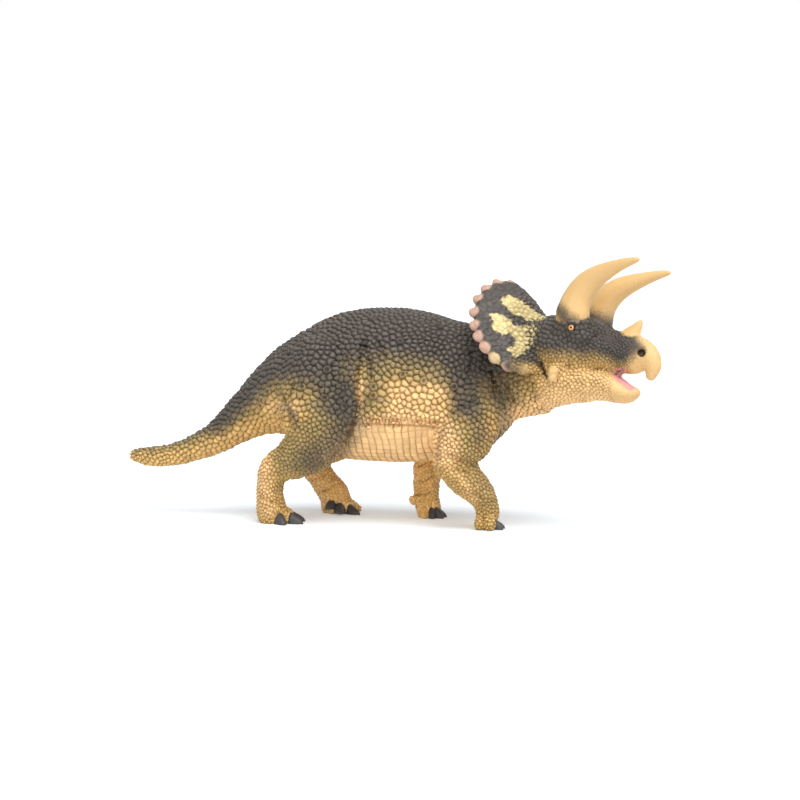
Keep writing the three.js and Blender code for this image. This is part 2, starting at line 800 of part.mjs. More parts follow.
function jawSolid() {
  const tongue = loft(tongueSections, { rings: 6, sides: smallSides, domes: [0, tongueThickness / 4] });
  let jaw = jawSkin(0).add(tongue).subtract(skullSkin(seamGap)).subtract(frillSolid(seamGap));
  for (const side of [-1, 1]) {
    jaw = jaw.subtract(cheekHorn(side, seamGap));
  }
  return largest(jaw.subtract(headPeg(seamGap).transform(intoHead.elements)));
}

function torsoSolid() {
  let solid = loft(spine, {
    rings: 22,
    sides: torsoSides,
    from: seamIndex,
    domes: [0, neckDome],
  });
  for (const leg of legs) {
    solid = solid.subtract(legSolid(leg, seamGap));
  }
  const headCut = skullSkin(seamGap).add(jawSkin(seamGap)).add(frillSolid(seamGap));
  solid = solid.subtract(headCut.transform(headFrame.matrix.elements));
  solid = solid.subtract(headPeg(seamGap));
  return largest(solid.subtract(tailPeg(seamGap)));
}

const tailDirection = rumpSeam.clone().sub(tailSections[seamIndex - 1].at).normalize();

function tailPeg(grow) {
  const start = rumpSeam.clone().addScaledVector(tailDirection, -tailPegLength / 2);
  return peg(start, tailDirection, tailPegDiameter + 2 * grow, (3 * tailPegLength) / 2 + grow);
}

function tailSolid() {
  const skin = loft(spine, {
    rings: 13,
    sides: torsoSides,
    from: 0,
    to: seamIndex - seamStep,
    domes: [tailTipDome, 0],
  });
  return skin.add(tailPeg(0));
}

const body = new THREE.Group();
body.add(meshOf("torso", torsoSolid(), hidePaint));
body.add(meshOf("tail", tailSolid(), tailPaint));
for (const leg of legs) {
  body.add(meshOf(leg.name, legSolid(leg, 0), limbPaint));
}
headFrame.add(meshOf("skull", skullSolid(), facePaint));
headFrame.add(meshOf("lower_jaw", jawSolid(), jawPaint));
headFrame.add(meshOf("right_brow_horn", browHorn(-1), hornPaint));
headFrame.add(meshOf("left_brow_horn", browHorn(1), hornPaint));
headFrame.add(meshOf("nose_horn", noseHorn(), hornPaint));
body.add(headFrame);

// The whole figure is moved so that the origin is below the middle of its box.
const figure = new THREE.Group();
figure.add(body);
figure.updateMatrixWorld(true);
const box = new THREE.Box3().setFromObject(figure, true);
const middle = box.getCenter(new THREE.Vector3());
body.position.set(-middle.x, -middle.y, -box.min.z);

export default figure;
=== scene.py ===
import logging
import math
from dataclasses import dataclass, field
from enum import Enum
from functools import partial

import bmesh
import bpy
import numpy as np
from mathutils import Matrix, Vector, kdtree


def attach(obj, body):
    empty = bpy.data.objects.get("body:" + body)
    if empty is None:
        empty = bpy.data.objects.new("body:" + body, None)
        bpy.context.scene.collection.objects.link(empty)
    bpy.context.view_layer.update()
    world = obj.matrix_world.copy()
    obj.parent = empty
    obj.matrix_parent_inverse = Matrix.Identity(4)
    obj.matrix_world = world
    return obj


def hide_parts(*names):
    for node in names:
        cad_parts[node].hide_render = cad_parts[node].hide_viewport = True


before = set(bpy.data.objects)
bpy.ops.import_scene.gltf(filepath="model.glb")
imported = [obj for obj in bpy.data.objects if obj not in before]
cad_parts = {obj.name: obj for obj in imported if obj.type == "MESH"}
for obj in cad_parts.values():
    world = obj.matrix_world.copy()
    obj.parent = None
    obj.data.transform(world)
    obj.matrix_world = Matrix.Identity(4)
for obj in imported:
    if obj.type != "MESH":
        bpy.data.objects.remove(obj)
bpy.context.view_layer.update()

MM = 0.001
BODY = "root"
LOG = logging.getLogger("figure")

Array = np.ndarray
Pair = tuple[float, float]
Triple = tuple[float, float, float]
Colour = tuple[float, float, float, float]
Blob = tuple[np.ndarray, list]
Material = bpy.types.Material
Socket = bpy.types.NodeSocket
Tree = bpy.types.NodeTree

UP: Triple = (0, 0, 1)
DOWN: Triple = (0, 0, -1)
AHEAD: Triple = (1, 0, 0)
BACK: Triple = (-1, 0, 0)
WHITE: Colour = (1, 1, 1, 1)
FACE = ("skull", "lower_jaw")
HORNS = ("right_brow_horn", "left_brow_horn", "nose_horn")
NOISE_AXES = (73856093, 19349663, 83492791)
NOISE_SEED = 7919
NOISE_MIX = 1274126177
SMOOTHING = 0.5
REGROWTH = 0.53


class Coat(Enum):
    """The paints that are sprayed or brushed over the vinyl, in the order in which they go on."""

    TAN = "tan"
    PEACH = "peach"
    OLIVE = "olive"
    UMBER = "umber"
    BONE = "bone"
    BLUSH = "blush"
    LEMON = "lemon"
    GUM = "gum"
    SOOT = "soot"


class Mark(Enum):
    """The relief's own values, which the paint follows."""

    GROOVE = "groove"
    TOP = "top"
    TONE = "tone"


@dataclass(frozen=True)
class View:
    """Where the photograph was taken from. Places on it are in its own pixels."""

    target: Triple = (2.69, 0.57, 41.8)
    azimuth: float = 12
    elevation: float = 6
    distance: float = 1000
    focus: float = 2900
    middle: float = 400

    def axes(self) -> Array:
        """Finds the view's directions.

        Returns:
            The view's right, up and backward directions, one a row.
        """
        turn = math.radians(self.azimuth)
        tilt = math.radians(self.elevation)
        back = np.array([math.sin(turn) * math.cos(tilt), -math.cos(turn) * math.cos(tilt), math.sin(tilt)])
        right = np.array([math.cos(turn), math.sin(turn), 0])
        return np.stack([right, np.cross(back, right), back])

    def project(self, points: Array) -> Array:
        """Finds where points are seen.

        Args:
            points: Places in millimetres, one a row.

        Returns:
            The place of each on the photograph.
        """
        seen = (points - np.array(self.target)) @ self.axes().T
        size = self.focus / (self.distance - seen[:, 2])
        return self.middle + seen[:, :2] * size[:, None] * (1, -1)


VIEW = View()


@dataclass(frozen=True)
class Spray:
    """A pass of the airbrush, laid out on the photograph's view of the near side.

    A pass with an amount below zero takes paint away again. It covers both sides of the figure, or only
    the right one where its side is minus one and only the left one where it is one.
    """

    coat: Coat
    path: tuple[tuple[float, float], ...]
    reach: float
    amount: float = 1.0
    core: float = 0.35
    side: int = 0

    def fall(self, seen: Array) -> Array:
        """Gives how strongly the pass covers each seen place, from 0 to 1."""
        near = distance_to_path(seen, np.array(self.path, float)) / self.reach
        return 1 - smooth_step(self.core, 1.0, near)


# A pass of each coat is written with the coat's name.
tan, peach, olive, umber, lemon, gum, soot = (
    partial(Spray, coat)
    for coat in (Coat.TAN, Coat.PEACH, Coat.OLIVE, Coat.UMBER, Coat.LEMON, Coat.GUM, Coat.SOOT)
)


@dataclass(frozen=True)
class Bulge:
    """Flesh pushed out along a path, or pressed in where the amount is below zero, in millimetres."""

    path: tuple[Triple, ...]
    reach: float
    amount: float

    def push(self, points: Array) -> Array:
        """Gives how far each point is pushed out, in millimetres."""
        near = distance_to_path(points, np.array(self.path, float)) / self.reach
        return self.amount * (1 - smooth_step(0, 1, near))


@dataclass(frozen=True)
class Fold:
    """A crease in the hide, with the flesh on one side of it standing proud."""

    path: tuple[Triple, ...]
    toward: Triple
    rise: float
    depth: float
    reach: float = 8
    width: float = 1.0
    lip: Pair = (-0.4, 1.2)
    ink_share: float = 0.8
    ink_width: float = 0.55

    def push(self, points: Array) -> Array:
        """Forms the crease.

        Args:
            points: Places in millimetres.

        Returns:
            How far each point is pushed out, in millimetres.
        """
        away, offset = offset_to_path(points, np.array(self.path, float))
        side = offset @ (np.array(self.toward) / np.linalg.norm(self.toward))
        ends = 1 - smooth_step(0.0, 1.0, away / self.reach)
        low, high = self.lip
        raised = self.rise * smooth_step(low * self.width, high * self.width, side) * ends
        return raised - self.depth * bell(away, self.width)

    def ink(self, points: Array) -> Array:
        """Gives how much the crease is darkened at each point by wash and painted shade, from 0 to 1."""
        away = distance_to_path(points, np.array(self.path, float))
        return min(1.0, self.ink_share * self.depth) * bell(away, self.ink_width * self.width)


@dataclass(frozen=True)
class Pit:
    """A round hollow in the head with a raised ring round it, for an eye or a nostril."""

    at: Triple
    depth: float
    radius: float
    rise: float
    ring: float
    ring_width: float = 0.5

    def away(self, local: Array) -> Array:
        """Gives how far each point of the head's frame is from the hollow's middle."""
        return np.linalg.norm(local - np.array(self.at), axis=1)

    def push(self, local: Array) -> Array:
        """Gives how far each point of the head's frame is pushed out, in millimetres."""
        away = self.away(local)
        return self.rise * bell(away - self.ring, self.ring_width) - self.depth * bell(away, self.radius)


def smooth_step(low: float, high: float, value: Array) -> Array:
    """Rises smoothly from 0 at low to 1 at high."""
    share = np.clip((value - low) / (high - low), 0, 1)
    return share * share * (3 - 2 * share)


def bell(value: Array, width: Array | float) -> Array:
    """Falls smoothly from 1 at zero to nearly 0 at twice the width."""
    return np.exp(-((value / width) ** 2))


def offset_to_path(points: Array, path: Array) -> tuple[Array, Array]:
    """Measures the way from a line of straight stretches to points.

    Args:
        points: Places, one a row.
        path: The line's corners, one a row. A single corner is a point.

    Returns:
        The least distance of each point, and its offset from the nearest place on the line.
    """
    offset = points - path[0]
    best = np.linalg.norm(offset, axis=1)
    for start, end in zip(path[:-1], path[1:]):
        along = end - start
        share = np.clip((points - start) @ along / (along @ along), 0, 1)
        way = points - start - share[:, None] * along
        away = np.linalg.norm(way, axis=1)
        nearer = away < best
        best = np.where(nearer, away, best)
        offset[nearer] = way[nearer]
    return best, offset


def distance_to_path(points: Array, path: Array) -> Array:
    """Measures how far points are from a line of straight stretches, or from a single corner."""
    return offset_to_path(points, path)[0]


def inside_outline(points: Array, outline: Array) -> Array:
    """Measures how far points are inside a closed outline on a plane.

    Args:
        points: Places on the plane, one a row.
        outline: The outline's corners, one a row.

    Returns:
        The distance to the outline, above zero inside it and below zero outside.
    """
    away = distance_to_path(points, np.concatenate([outline, outline[:1]]))
    inside = np.zeros(len(points), bool)
    for (x, y), (next_x, next_y) in zip(outline, np.roll(outline, -1, axis=0)):
        crosses = (y > points[:, 1]) != (next_y > points[:, 1])
        slope = (next_x - x) / (next_y - y) if next_y != y else 0.0
        inside ^= crosses & (points[:, 0] < x + (points[:, 1] - y) * slope)
    return np.where(inside, away, -away)


def plant_tree(places: Array) -> kdtree.KDTree:
    """Sorts places, one a row, so that the nearest ones are found quickly."""
    tree = kdtree.KDTree(len(places))
    for number, place in enumerate(places):
        tree.insert(place, number)
    tree.balance()
    return tree


def soft_noise(points: Array, size: float, seed: int) -> Array:
    """Gives a smooth random value from -1 to 1 at each point.

    Args:
        points: Places in millimetres, one a row.
        size: The size of the noise's lumps in millimetres.
        seed: Which noise it is.

    Returns:
        One value for each point.
    """
    places = points / size
    cell = np.floor(places).astype(np.int64)
    part = places - cell
    part = part * part * (3 - 2 * part)
    total = np.zeros(len(points))
    for corner in range(8):
        step = np.array([corner & 1, (corner >> 1) & 1, corner >> 2])
        key = (cell + step) @ np.array(NOISE_AXES) + seed * NOISE_SEED
        key = (key ^ (key >> 13)) * NOISE_MIX
        key = key ^ (key >> 16)
        weight = np.prod(np.where(step, part, 1 - part), axis=1)
        total += weight * ((key & 0xFFFF) / 32767.5 - 1)
    return total


def noise_columns(points: Array, size: float, seeds: tuple[int, ...]) -> Array:
    """Gives a smooth random value for each seed, one column each, at each point."""
    return np.stack([soft_noise(points, size, seed) for seed in seeds], axis=1)


class HeadPlace:
    """Where the head sits: it is turned to the figure's right and tilted."""

    at = np.array([49.39, -3.43, 56.89])
    yaw = math.radians(-21)
    roll = math.radians(-14)

    @classmethod
    def turn(cls) -> Array:
        """The head's axes, one a column."""
        around_z = Matrix.Rotation(cls.yaw, 3, "Z")
        return np.array(around_z @ Matrix.Rotation(cls.roll, 3, "X"))

    @classmethod
    def local(cls, points: Array) -> Array:
        """Gives points in the head's own frame, x forward, y to its left and z up."""
        return (points - cls.at) @ cls.turn()

    @classmethod
    def world(cls, points: Array) -> Array:
        """Gives points of the head's own frame in the figure's frame."""
        return np.asarray(points, float) @ cls.turn().T + cls.at

    @staticmethod
    def right_half(local: Array) -> Array:
        """Gives points of the head's own frame with the left side's mirrored to the right."""
        right = local.copy()
        right[:, 1] = -np.abs(local[:, 1])
        return right


def read_all(items: bpy.types.bpy_prop_collection, label: str, kind: type, width: int = 1) -> Array:
    """Reads one property of every element of a mesh, with so many numbers for each."""
    values = np.empty(len(items) * width, kind)
    items.foreach_get(label, values)
    return values


class Skin:
    """A closed surface in millimetres, held as arrays. A face of three corners repeats its first."""

    def __init__(self, points: Array, faces: Array) -> None:
        """Keeps the points and faces and finds the edges.

        Args:
            points: Places, one a row.
            faces: Corner numbers, four a row.
        """
        self.points = points
        self.faces = faces
        pairs = np.concatenate([faces[:, [corner, (corner + 1) % 4]] for corner in range(4)])
        pairs = np.sort(pairs, axis=1)
        pairs = pairs[pairs[:, 0] != pairs[:, 1]]
        self.edges = np.unique(pairs, axis=0)
        self.degree = np.bincount(self.edges.ravel(), minlength=len(points)).astype(float)

    @classmethod
    def from_mesh(cls, mesh: bpy.types.Mesh) -> "Skin":
        """Reads a mesh.

        Args:
            mesh: A mesh whose faces have three or four corners.

        Returns:
            Its surface.
        """
        points = read_all(mesh.vertices, "co", np.float32, 3).reshape(-1, 3).astype(float)
        corners = read_all(mesh.loops, "vertex_index", np.int32)
        starts = read_all(mesh.polygons, "loop_start", np.int32)
        sizes = read_all(mesh.polygons, "loop_total", np.int32)
        last = np.where(sizes == 4, starts + 3, starts)
        faces = np.stack([corners[starts], corners[starts + 1], corners[starts + 2], corners[last]], axis=1)
        return cls(points, faces)

    def normals(self) -> Array:
        """Finds which way the surface faces.

        Returns:
            The outward direction at each point.
        """
        corner = self.points[self.faces]
        across = np.cross(corner[:, 2] - corner[:, 0], corner[:, 3] - corner[:, 1])
        total = np.zeros_like(self.points)
        count = len(self.points)
        for place in range(4):
            for axis in range(3):
                total[:, axis] += np.bincount(self.faces[:, place], across[:, axis], count)
        return total / np.maximum(np.linalg.norm(total, axis=1), 1e-9)[:, None]

    def neighbour_mean(self, values: Array) -> Array:
        """Averages each point's neighbours' values.

        Args:
            values: One row or number for each point.

        Returns:
            The averages in the same form.
        """
        columns = values.reshape(len(values), -1)
        total = np.empty(columns.shape)
        a, b = self.edges.T
        for column in range(columns.shape[1]):
            total[:, column] = np.bincount(a, columns[b, column], len(values))
            total[:, column] += np.bincount(b, columns[a, column], len(values))
        return (total / np.maximum(self.degree, 1)[:, None]).reshape(values.shape)

    def relax(self, steps: int, weight: Array | float = 1.0) -> None:
        """Smooths the surface, more where the weight is higher.

        Args:
            steps: How many times it is smoothed.
            weight: One share for all points or one for each.
        """
        share = SMOOTHING * np.broadcast_to(weight, len(self.points))[:, None]
        for _ in range(steps):
            self.points += share * (self.neighbour_mean(self.points) - self.points)

    def polish(self, steps: int) -> None:
        """Smooths out steps of the casting grid and keeps the volume."""
        for _ in range(steps):
            self.points += SMOOTHING * (self.neighbour_mean(self.points) - self.points)
            self.points -= REGROWTH * (self.neighbour_mean(self.points) - self.points)

    def spread(self, values: Array, steps: int) -> Array:
        """Smooths values over the surface."""
        for _ in range(steps):
            values = SMOOTHING * values + SMOOTHING * self.neighbour_mean(values)
        return values

    def outer(self) -> "Skin":
        """Drops every loose island but the largest.

        Returns:
            The largest island.
        """
        label = np.arange(len(self.points))
        a, b = self.edges.T
        while True:
            low = np.minimum(label[a], label[b])
            fresh = label.copy()
            np.minimum.at(fresh, a, low)
            np.minimum.at(fresh, b, low)
            fresh = fresh[fresh]
            if (fresh == label).all():
                break
            label = fresh
        keep = label == np.bincount(label).argmax()
        number = np.cumsum(keep) - 1
        faces = self.faces[keep[self.faces[:, 0]]]
        return Skin(self.points[keep], number[faces])


def ball(at: Array, axes: Array, steps: int = 14) -> Blob:
    """Makes an egg-shaped blob for the casting.

    Args:
        at: Its centre in millimetres.
        axes: Its three half axes, one a row.
        steps: How many rings it has.

    Returns:
        Its points and its faces.
    """
    mesh = bmesh.new()
    bmesh.ops.create_uvsphere(mesh, u_segments=2 * steps, v_segments=steps, radius=1)
    points = np.array([vert.co[:] for vert in mesh.verts]) @ axes + at
    faces = [[vert.index for vert in face.verts] for face in mesh.faces]
    mesh.free()
    return points, faces


class Caster:
    """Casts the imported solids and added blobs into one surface."""

    def __init__(self, names: list[str], swell: float) -> None:
        """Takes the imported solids.

        Args:
            names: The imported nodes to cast.
            swell: How far each is swollen, in millimetres, so that they fuse across their seams.
        """
        self.names = names
        self.solids = []
        samples = []
        owners = []
        rng = np.random.default_rng(5)
        for number, name in enumerate(names):
            mesh = bmesh.new()
            mesh.from_mesh(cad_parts[name].data)
            bmesh.ops.remove_doubles(mesh, verts=mesh.verts, dist=1e-6)
            bmesh.ops.triangulate(mesh, faces=mesh.faces)
            mesh.normal_update()
            points = np.array([vert.co[:] for vert in mesh.verts]) / MM
            outward = np.array([vert.normal[:] for vert in mesh.verts])
            faces = [[vert.index for vert in face.verts] for face in mesh.faces]
            mesh.free()
            self.solids.append((points + swell * outward, faces))
            corner = points[np.array(faces)]
            area = np.linalg.norm(np.cross(corner[:, 1] - corner[:, 0], corner[:, 2] - corner[:, 0]), axis=1)
            chosen = rng.choice(len(faces), int(area.sum()), p=area / area.sum())
            mix = rng.dirichlet((1, 1, 1), len(chosen))
            samples.append((corner[chosen] * mix[:, :, None]).sum(axis=1))
            owners.append(np.full(len(chosen), number))
        self.samples = np.concatenate(samples)
        self.owners = np.concatenate(owners)

    def cast(self, solids: list[Blob], grid: float) -> Skin:
        """Fuses closed solids into one surface.

        Args:
            solids: Points and faces of each solid.
            grid: The size of the surface's faces in millimetres.

        Returns:
            The outer surface.
        """
        points = np.concatenate([solid[0] for solid in solids])
        faces = []
        base = 0
        for places, corners in solids:
            faces += [[base + corner for corner in face] for face in corners]
            base += len(places)
        mesh = bpy.data.meshes.new("casting")
        mesh.from_pydata(points, [], faces)
        piece = bpy.data.objects.new("casting", mesh)
        bpy.context.scene.collection.objects.link(piece)
        remesh = piece.modifiers.new("cast", "REMESH")
        remesh.mode = "VOXEL"
        remesh.voxel_size = grid
        graph = bpy.context.evaluated_depsgraph_get()
        result = bpy.data.meshes.new_from_object(piece.evaluated_get(graph))
        skin = Skin.from_mesh(result).outer()
        bpy.data.objects.remove(piece)
        bpy.data.meshes.remove(mesh)
        bpy.data.meshes.remove(result)
        return skin

    def shares(self, skin: Skin, steps: int) -> Array:
        """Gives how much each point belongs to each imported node.

        Args:
            skin: The surface.
            steps: How often the shares are smoothed.

        Returns:
            One row for each point and one column for each node.
        """
        tree = plant_tree(self.samples)
        nearest = [tree.find(place)[1] for place in skin.points]
        shares = np.zeros((len(skin.points), len(self.names)))
        shares[np.arange(len(nearest)), self.owners[nearest]] = 1
        return skin.spread(shares, steps)


@dataclass
class ScaleBed:
    """The hide's scales: one centre for each scale, and each point's place among them."""

    skin: Skin
    spacing: Array
    fixed: Array
    lift: Array
    evenness: int = 2
    seed: int = 11
    least: float = 0.82

    def lifted(self) -> Array:
        """The points, moved out along their normals so that the two sides of a thin sheet lie apart."""
        return self.skin.points + self.lift[:, None] * self.skin.normals()

    def scatter(self) -> None:
        """Scatters the centres evenly, with the fixed ones first, and finds each point's two nearest."""
        places = self.lifted()
        tree = plant_tree(places)
        rng = np.random.default_rng(self.seed)
        order = np.concatenate([self.fixed, rng.permutation(len(places))])
        taken = bytearray(len(places))
        chosen = []
        for rank, number in enumerate(order):
            if taken[number] and rank >= len(self.fixed):
                continue
            chosen.append(number)
            for _, other, _ in tree.find_range(places[number], self.least * self.spacing[number]):
                taken[other] = 1
        centres = places[chosen]
        held = len(self.fixed)
        for _ in range(self.evenness):
            nearest = self.nearest_centres(places, centres, 1)[0][:, 0]
            count = np.maximum(np.bincount(nearest, minlength=len(centres)), 1)
            for axis in range(3):
                mean = np.bincount(nearest, places[:, axis], len(centres)) / count
                centres[held:, axis] = mean[held:]
        self.centres = centres
        self.places = places
        numbers, distances = self.nearest_centres(places, centres, 2)
        self.own, self.next = numbers.T
        self.reach, second = distances.T
        between = centres[self.next] - centres[self.own]
        width = np.maximum(np.linalg.norm(between, axis=1), 1e-6)
        self.edge = (second**2 - self.reach**2) / (2 * width)
        self.toward = between / width[:, None]

    @staticmethod
    def nearest_centres(places: Array, centres: Array, count: int) -> tuple[Array, Array]:
        """Finds the nearest centres of each place.

        Args:
            places: Places, one a row.
            centres: The centres, one a row.
            count: How many are found for each place.

        Returns:
            The centres' numbers and their distances.
        """
        tree = plant_tree(centres)
        found = [tree.find_n(place, count) for place in places]
        numbers = np.array([[one[1] for one in row] for row in found])
        distances = np.array([[one[2] for one in row] for row in found])
        return numbers, distances

    def snap(self, within: float, where: Array) -> None:
        """Moves points close to a border onto it, so that the grooves are sharp.

        Args:
            within: How near a point must be, in millimetres.
            where: Which points may move.
        """
        normal = self.skin.normals()
        flat = self.toward - (self.toward * normal).sum(axis=1)[:, None] * normal
        flat /= np.maximum(np.linalg.norm(flat, axis=1), 1e-6)[:, None]
        near = where & (self.edge < within)
        self.skin.points[near] += self.edge[near, None] * flat[near]
        self.edge[near] = 0


def to_linear(red: int, green: int, blue: int) -> Colour:
    """Turns a colour as a screen shows it, from 0 to 255, into the renderer's own."""
    channels = []
    for value in (red, green, blue):
        share = value / 255
        channels.append(share / 12.92 if share <= 0.04045 else ((share + 0.055) / 1.055) ** 2.4)
    return (*channels, 1.0)


class Shader:
    """Adds nodes to a shader tree and joins their sockets."""

    def __init__(self, tree: bpy.types.NodeTree) -> None:
        """Works on a node tree."""
        self.tree = tree

    @classmethod
    def material(cls, name: str) -> tuple[Material, "Shader"]:
        """Makes a new material and gives it with its shader."""
        material = bpy.data.materials.new(name)
        material.use_nodes = True
        return material, cls(material.node_tree)

    def add(self, kind: str, inputs: dict | None = None, **settings: object) -> bpy.types.Node:
        """Adds a node.

        Args:
            kind: The node's type after ShaderNode.
            inputs: Values or sockets for its inputs, by name or number.
            settings: The node's own properties.

        Returns:
            The node.
        """
        node = self.tree.nodes.new("ShaderNode" + kind)
        for name, value in settings.items():
            setattr(node, name, value)
        self.feed(node, inputs or {})
        return node

    def feed(self, node: bpy.types.Node, inputs: dict) -> None:
        """Gives a node's inputs their values, or joins sockets to them."""
        for name, value in inputs.items():
            if isinstance(value, Socket):
                self.tree.links.new(value, node.inputs[name])
            else:
                node.inputs[name].default_value = value

    def mix(self, share: object, first: object, second: object, blend: str = "MIX") -> Socket:
        """Mixes two colours and gives the result's socket."""
        node = self.add("Mix", {0: share, 6: first, 7: second}, data_type="RGBA", blend_type=blend)
        return node.outputs[2]

    def math(self, operation: str, first: object, second: object = 0.0) -> Socket:
        """Joins two numbers by arithmetic and gives the result's socket."""
        return self.add("Math", {0: first, 1: second}, operation=operation).outputs[0]

    def grey(self, level: Socket) -> Socket:
        """Turns a number into a grey of that level."""
        return self.add("CombineColor", {0: level, 1: level, 2: level}).outputs[0]

    def noise(self, scale: object, detail: float) -> Socket:
        """Adds a noise that is fixed to the piece, and gives its value's socket."""
        place = self.add("TexCoord").outputs["Object"]
        return self.add("TexNoise", {"Vector": place, "Scale": scale, "Detail": detail}).outputs["Fac"]

    def value(self, name: str) -> Socket:
        """Reads a value that the mesh carries at its points."""
        return self.add("Attribute", attribute_name=name).outputs["Fac"]

    def seen(self) -> Socket:
        """Gives 1 where the camera, a reflection or clear stuff looks straight at a surface."""
        path = self.add("LightPath")
        seen = self.math("MAXIMUM", path.outputs["Is Camera Ray"], path.outputs["Is Glossy Ray"])
        return self.math("MAXIMUM", seen, path.outputs["Is Transmission Ray"])

    def spray(self, paint: object, coats: dict[Coat, Triple], effects: dict[str, Tree]) -> Socket:
        """Sprays coats over a paint.

        Args:
            paint: The paint's socket or colour.
            coats: The colour of each coat.
            effects: The shared node groups by name.

        Returns:
            The socket of the result.
        """
        for coat, colour in coats.items():
            speckle = self.add("Group", {"Mask": self.value(coat.value)}, node_tree=effects["speckle"])
            paint = self.mix(speckle.outputs["Mask"], paint, to_linear(*colour))
        return paint

    def finish(self, paint: Socket, grain: bpy.types.Node, grain_height: float) -> None:
        """Joins the paint and the vinyl's grain to the material.

        Args:
            paint: The paint's socket.
            grain: The node of the grain group.
            grain_height: The height of the grain in metres.
        """
        bump = self.add("Bump", {"Height": grain.outputs["Height"], "Distance": grain_height})
        inputs = {"Base Color": paint, "Normal": bump.outputs["Normal"]}
        inputs["Roughness"] = grain.outputs["Roughness"]
        self.feed(self.tree.nodes["Principled BSDF"], inputs)


class Effects:
    """The shader node groups that the finishes share."""

    @staticmethod
    def group(name: str, inputs: dict[str, object], outputs: dict[str, str]) -> tuple:
        """Makes an empty group with its sockets.

        Args:
            name: The group's name.
            inputs: Each input's name and its value. A value of four numbers is a colour.
            outputs: Each output's name and what it is, Color or Float.

        Returns:
            The group, its shader, its input node's outputs and its output node.
        """
        group = bpy.data.node_groups.new(name, "ShaderNodeTree")
        for label, value in inputs.items():
            kind = "NodeSocketColor" if isinstance(value, tuple) else "NodeSocketFloat"
            socket = group.interface.new_socket(label, in_out="INPUT", socket_type=kind)
            socket.default_value = value
        for label, kind in outputs.items():
            group.interface.new_socket(label, in_out="OUTPUT", socket_type="NodeSocket" + kind)
        given = group.nodes.new("NodeGroupInput").outputs
        return group, Shader(group), given, group.nodes.new("NodeGroupOutput")

    @classmethod
    def wash(cls) -> Tree:
        """A dark wash in the grooves, partly painted shade, and a dry brush on the tops, partly a painted
        highlight.

        Returns:
            The node group.
        """
        inputs = {"Paint": to_linear(128, 128, 128), "Groove": 0.0, "Top": 0.0, "Tone": 0.5, "Wash": 0.8}
        inputs |= {"Brush": 0.3, "Spread": 0.2, "Shade": 0.0, "Mottle": 0.5}
        inputs |= {"Wash Colour": to_linear(185, 150, 110), "Dark Wash": to_linear(110, 100, 92)}
        group, shader, given, result = cls.group("groove_wash", inputs, {"Colour": "Color"})
        lift = shader.math("MULTIPLY", shader.math("SUBTRACT", given["Tone"], 0.5), given["Spread"])
        # The scale tops are lightened: a dry brush with a painted highlight.
        brushed_highlight = shader.math("MULTIPLY", given["Top"], given["Brush"])
        level = shader.math("ADD", shader.math("ADD", lift, brushed_highlight), 1.0)
        flecks = shader.math("MULTIPLY", shader.noise(1500.0, 3.0), given["Mottle"])
        level = shader.math("MULTIPLY", level, shader.math("ADD", flecks, 1.0))
        level = shader.math("SUBTRACT", level, shader.math("MULTIPLY", given["Mottle"], 0.5))
        lit = shader.mix(1.0, given["Paint"], shader.grey(level), "MULTIPLY")
        settled = shader.mix(given["Shade"], given["Wash Colour"], given["Dark Wash"])
        dark = shader.mix(1.0, given["Paint"], settled, "MULTIPLY")
        share = shader.math("MULTIPLY", given["Groove"], given["Wash"])
        shader.feed(result, {"Colour": shader.mix(share, lit, dark)})
        return group

    @classmethod
    def speckle(cls) -> Tree:
        """Breaks the soft edge of a sprayed coat into fine specks.

        Returns:
            The node group.
        """
        inputs = {"Mask": 0.0, "Grain": 1800.0, "Amount": 0.5, "Sharpness": 8.0}
        group, shader, given, result = cls.group("spray_speckle", inputs, {"Mask": "Float"})
        centred = shader.math("SUBTRACT", shader.noise(given["Grain"], 2.0), 0.5)
        edge = shader.math("MULTIPLY", given["Mask"], shader.math("SUBTRACT", 1.0, given["Mask"]))
        push = shader.math("MULTIPLY", shader.math("MULTIPLY", centred, edge), given["Amount"])
        push = shader.math("MULTIPLY", push, given["Sharpness"])
        total = shader.add("Clamp", {0: shader.math("ADD", given["Mask"], push)})
        shader.feed(result, {"Mask": total.outputs[0]})
        return group

    @classmethod
    def grain(cls) -> Tree:
        """The fine tooth of moulded vinyl under paint: a height and a change of gloss.

        Returns:
            The node group.
        """
        inputs = {"Grain": 1500.0, "Roughness": 0.5, "Change": 0.1}
        outputs = {"Height": "Float", "Roughness": "Float"}
        group, shader, given, result = cls.group("vinyl_grain", inputs, outputs)
        centred = shader.math("SUBTRACT", shader.noise(120.0, 2.0), 0.5)
        change = shader.math("MULTIPLY", centred, given["Change"])
        gloss = shader.math("ADD", given["Roughness"], change)
        shader.feed(result, {"Height": shader.noise(given["Grain"], 3.0), "Roughness": gloss})
        return group


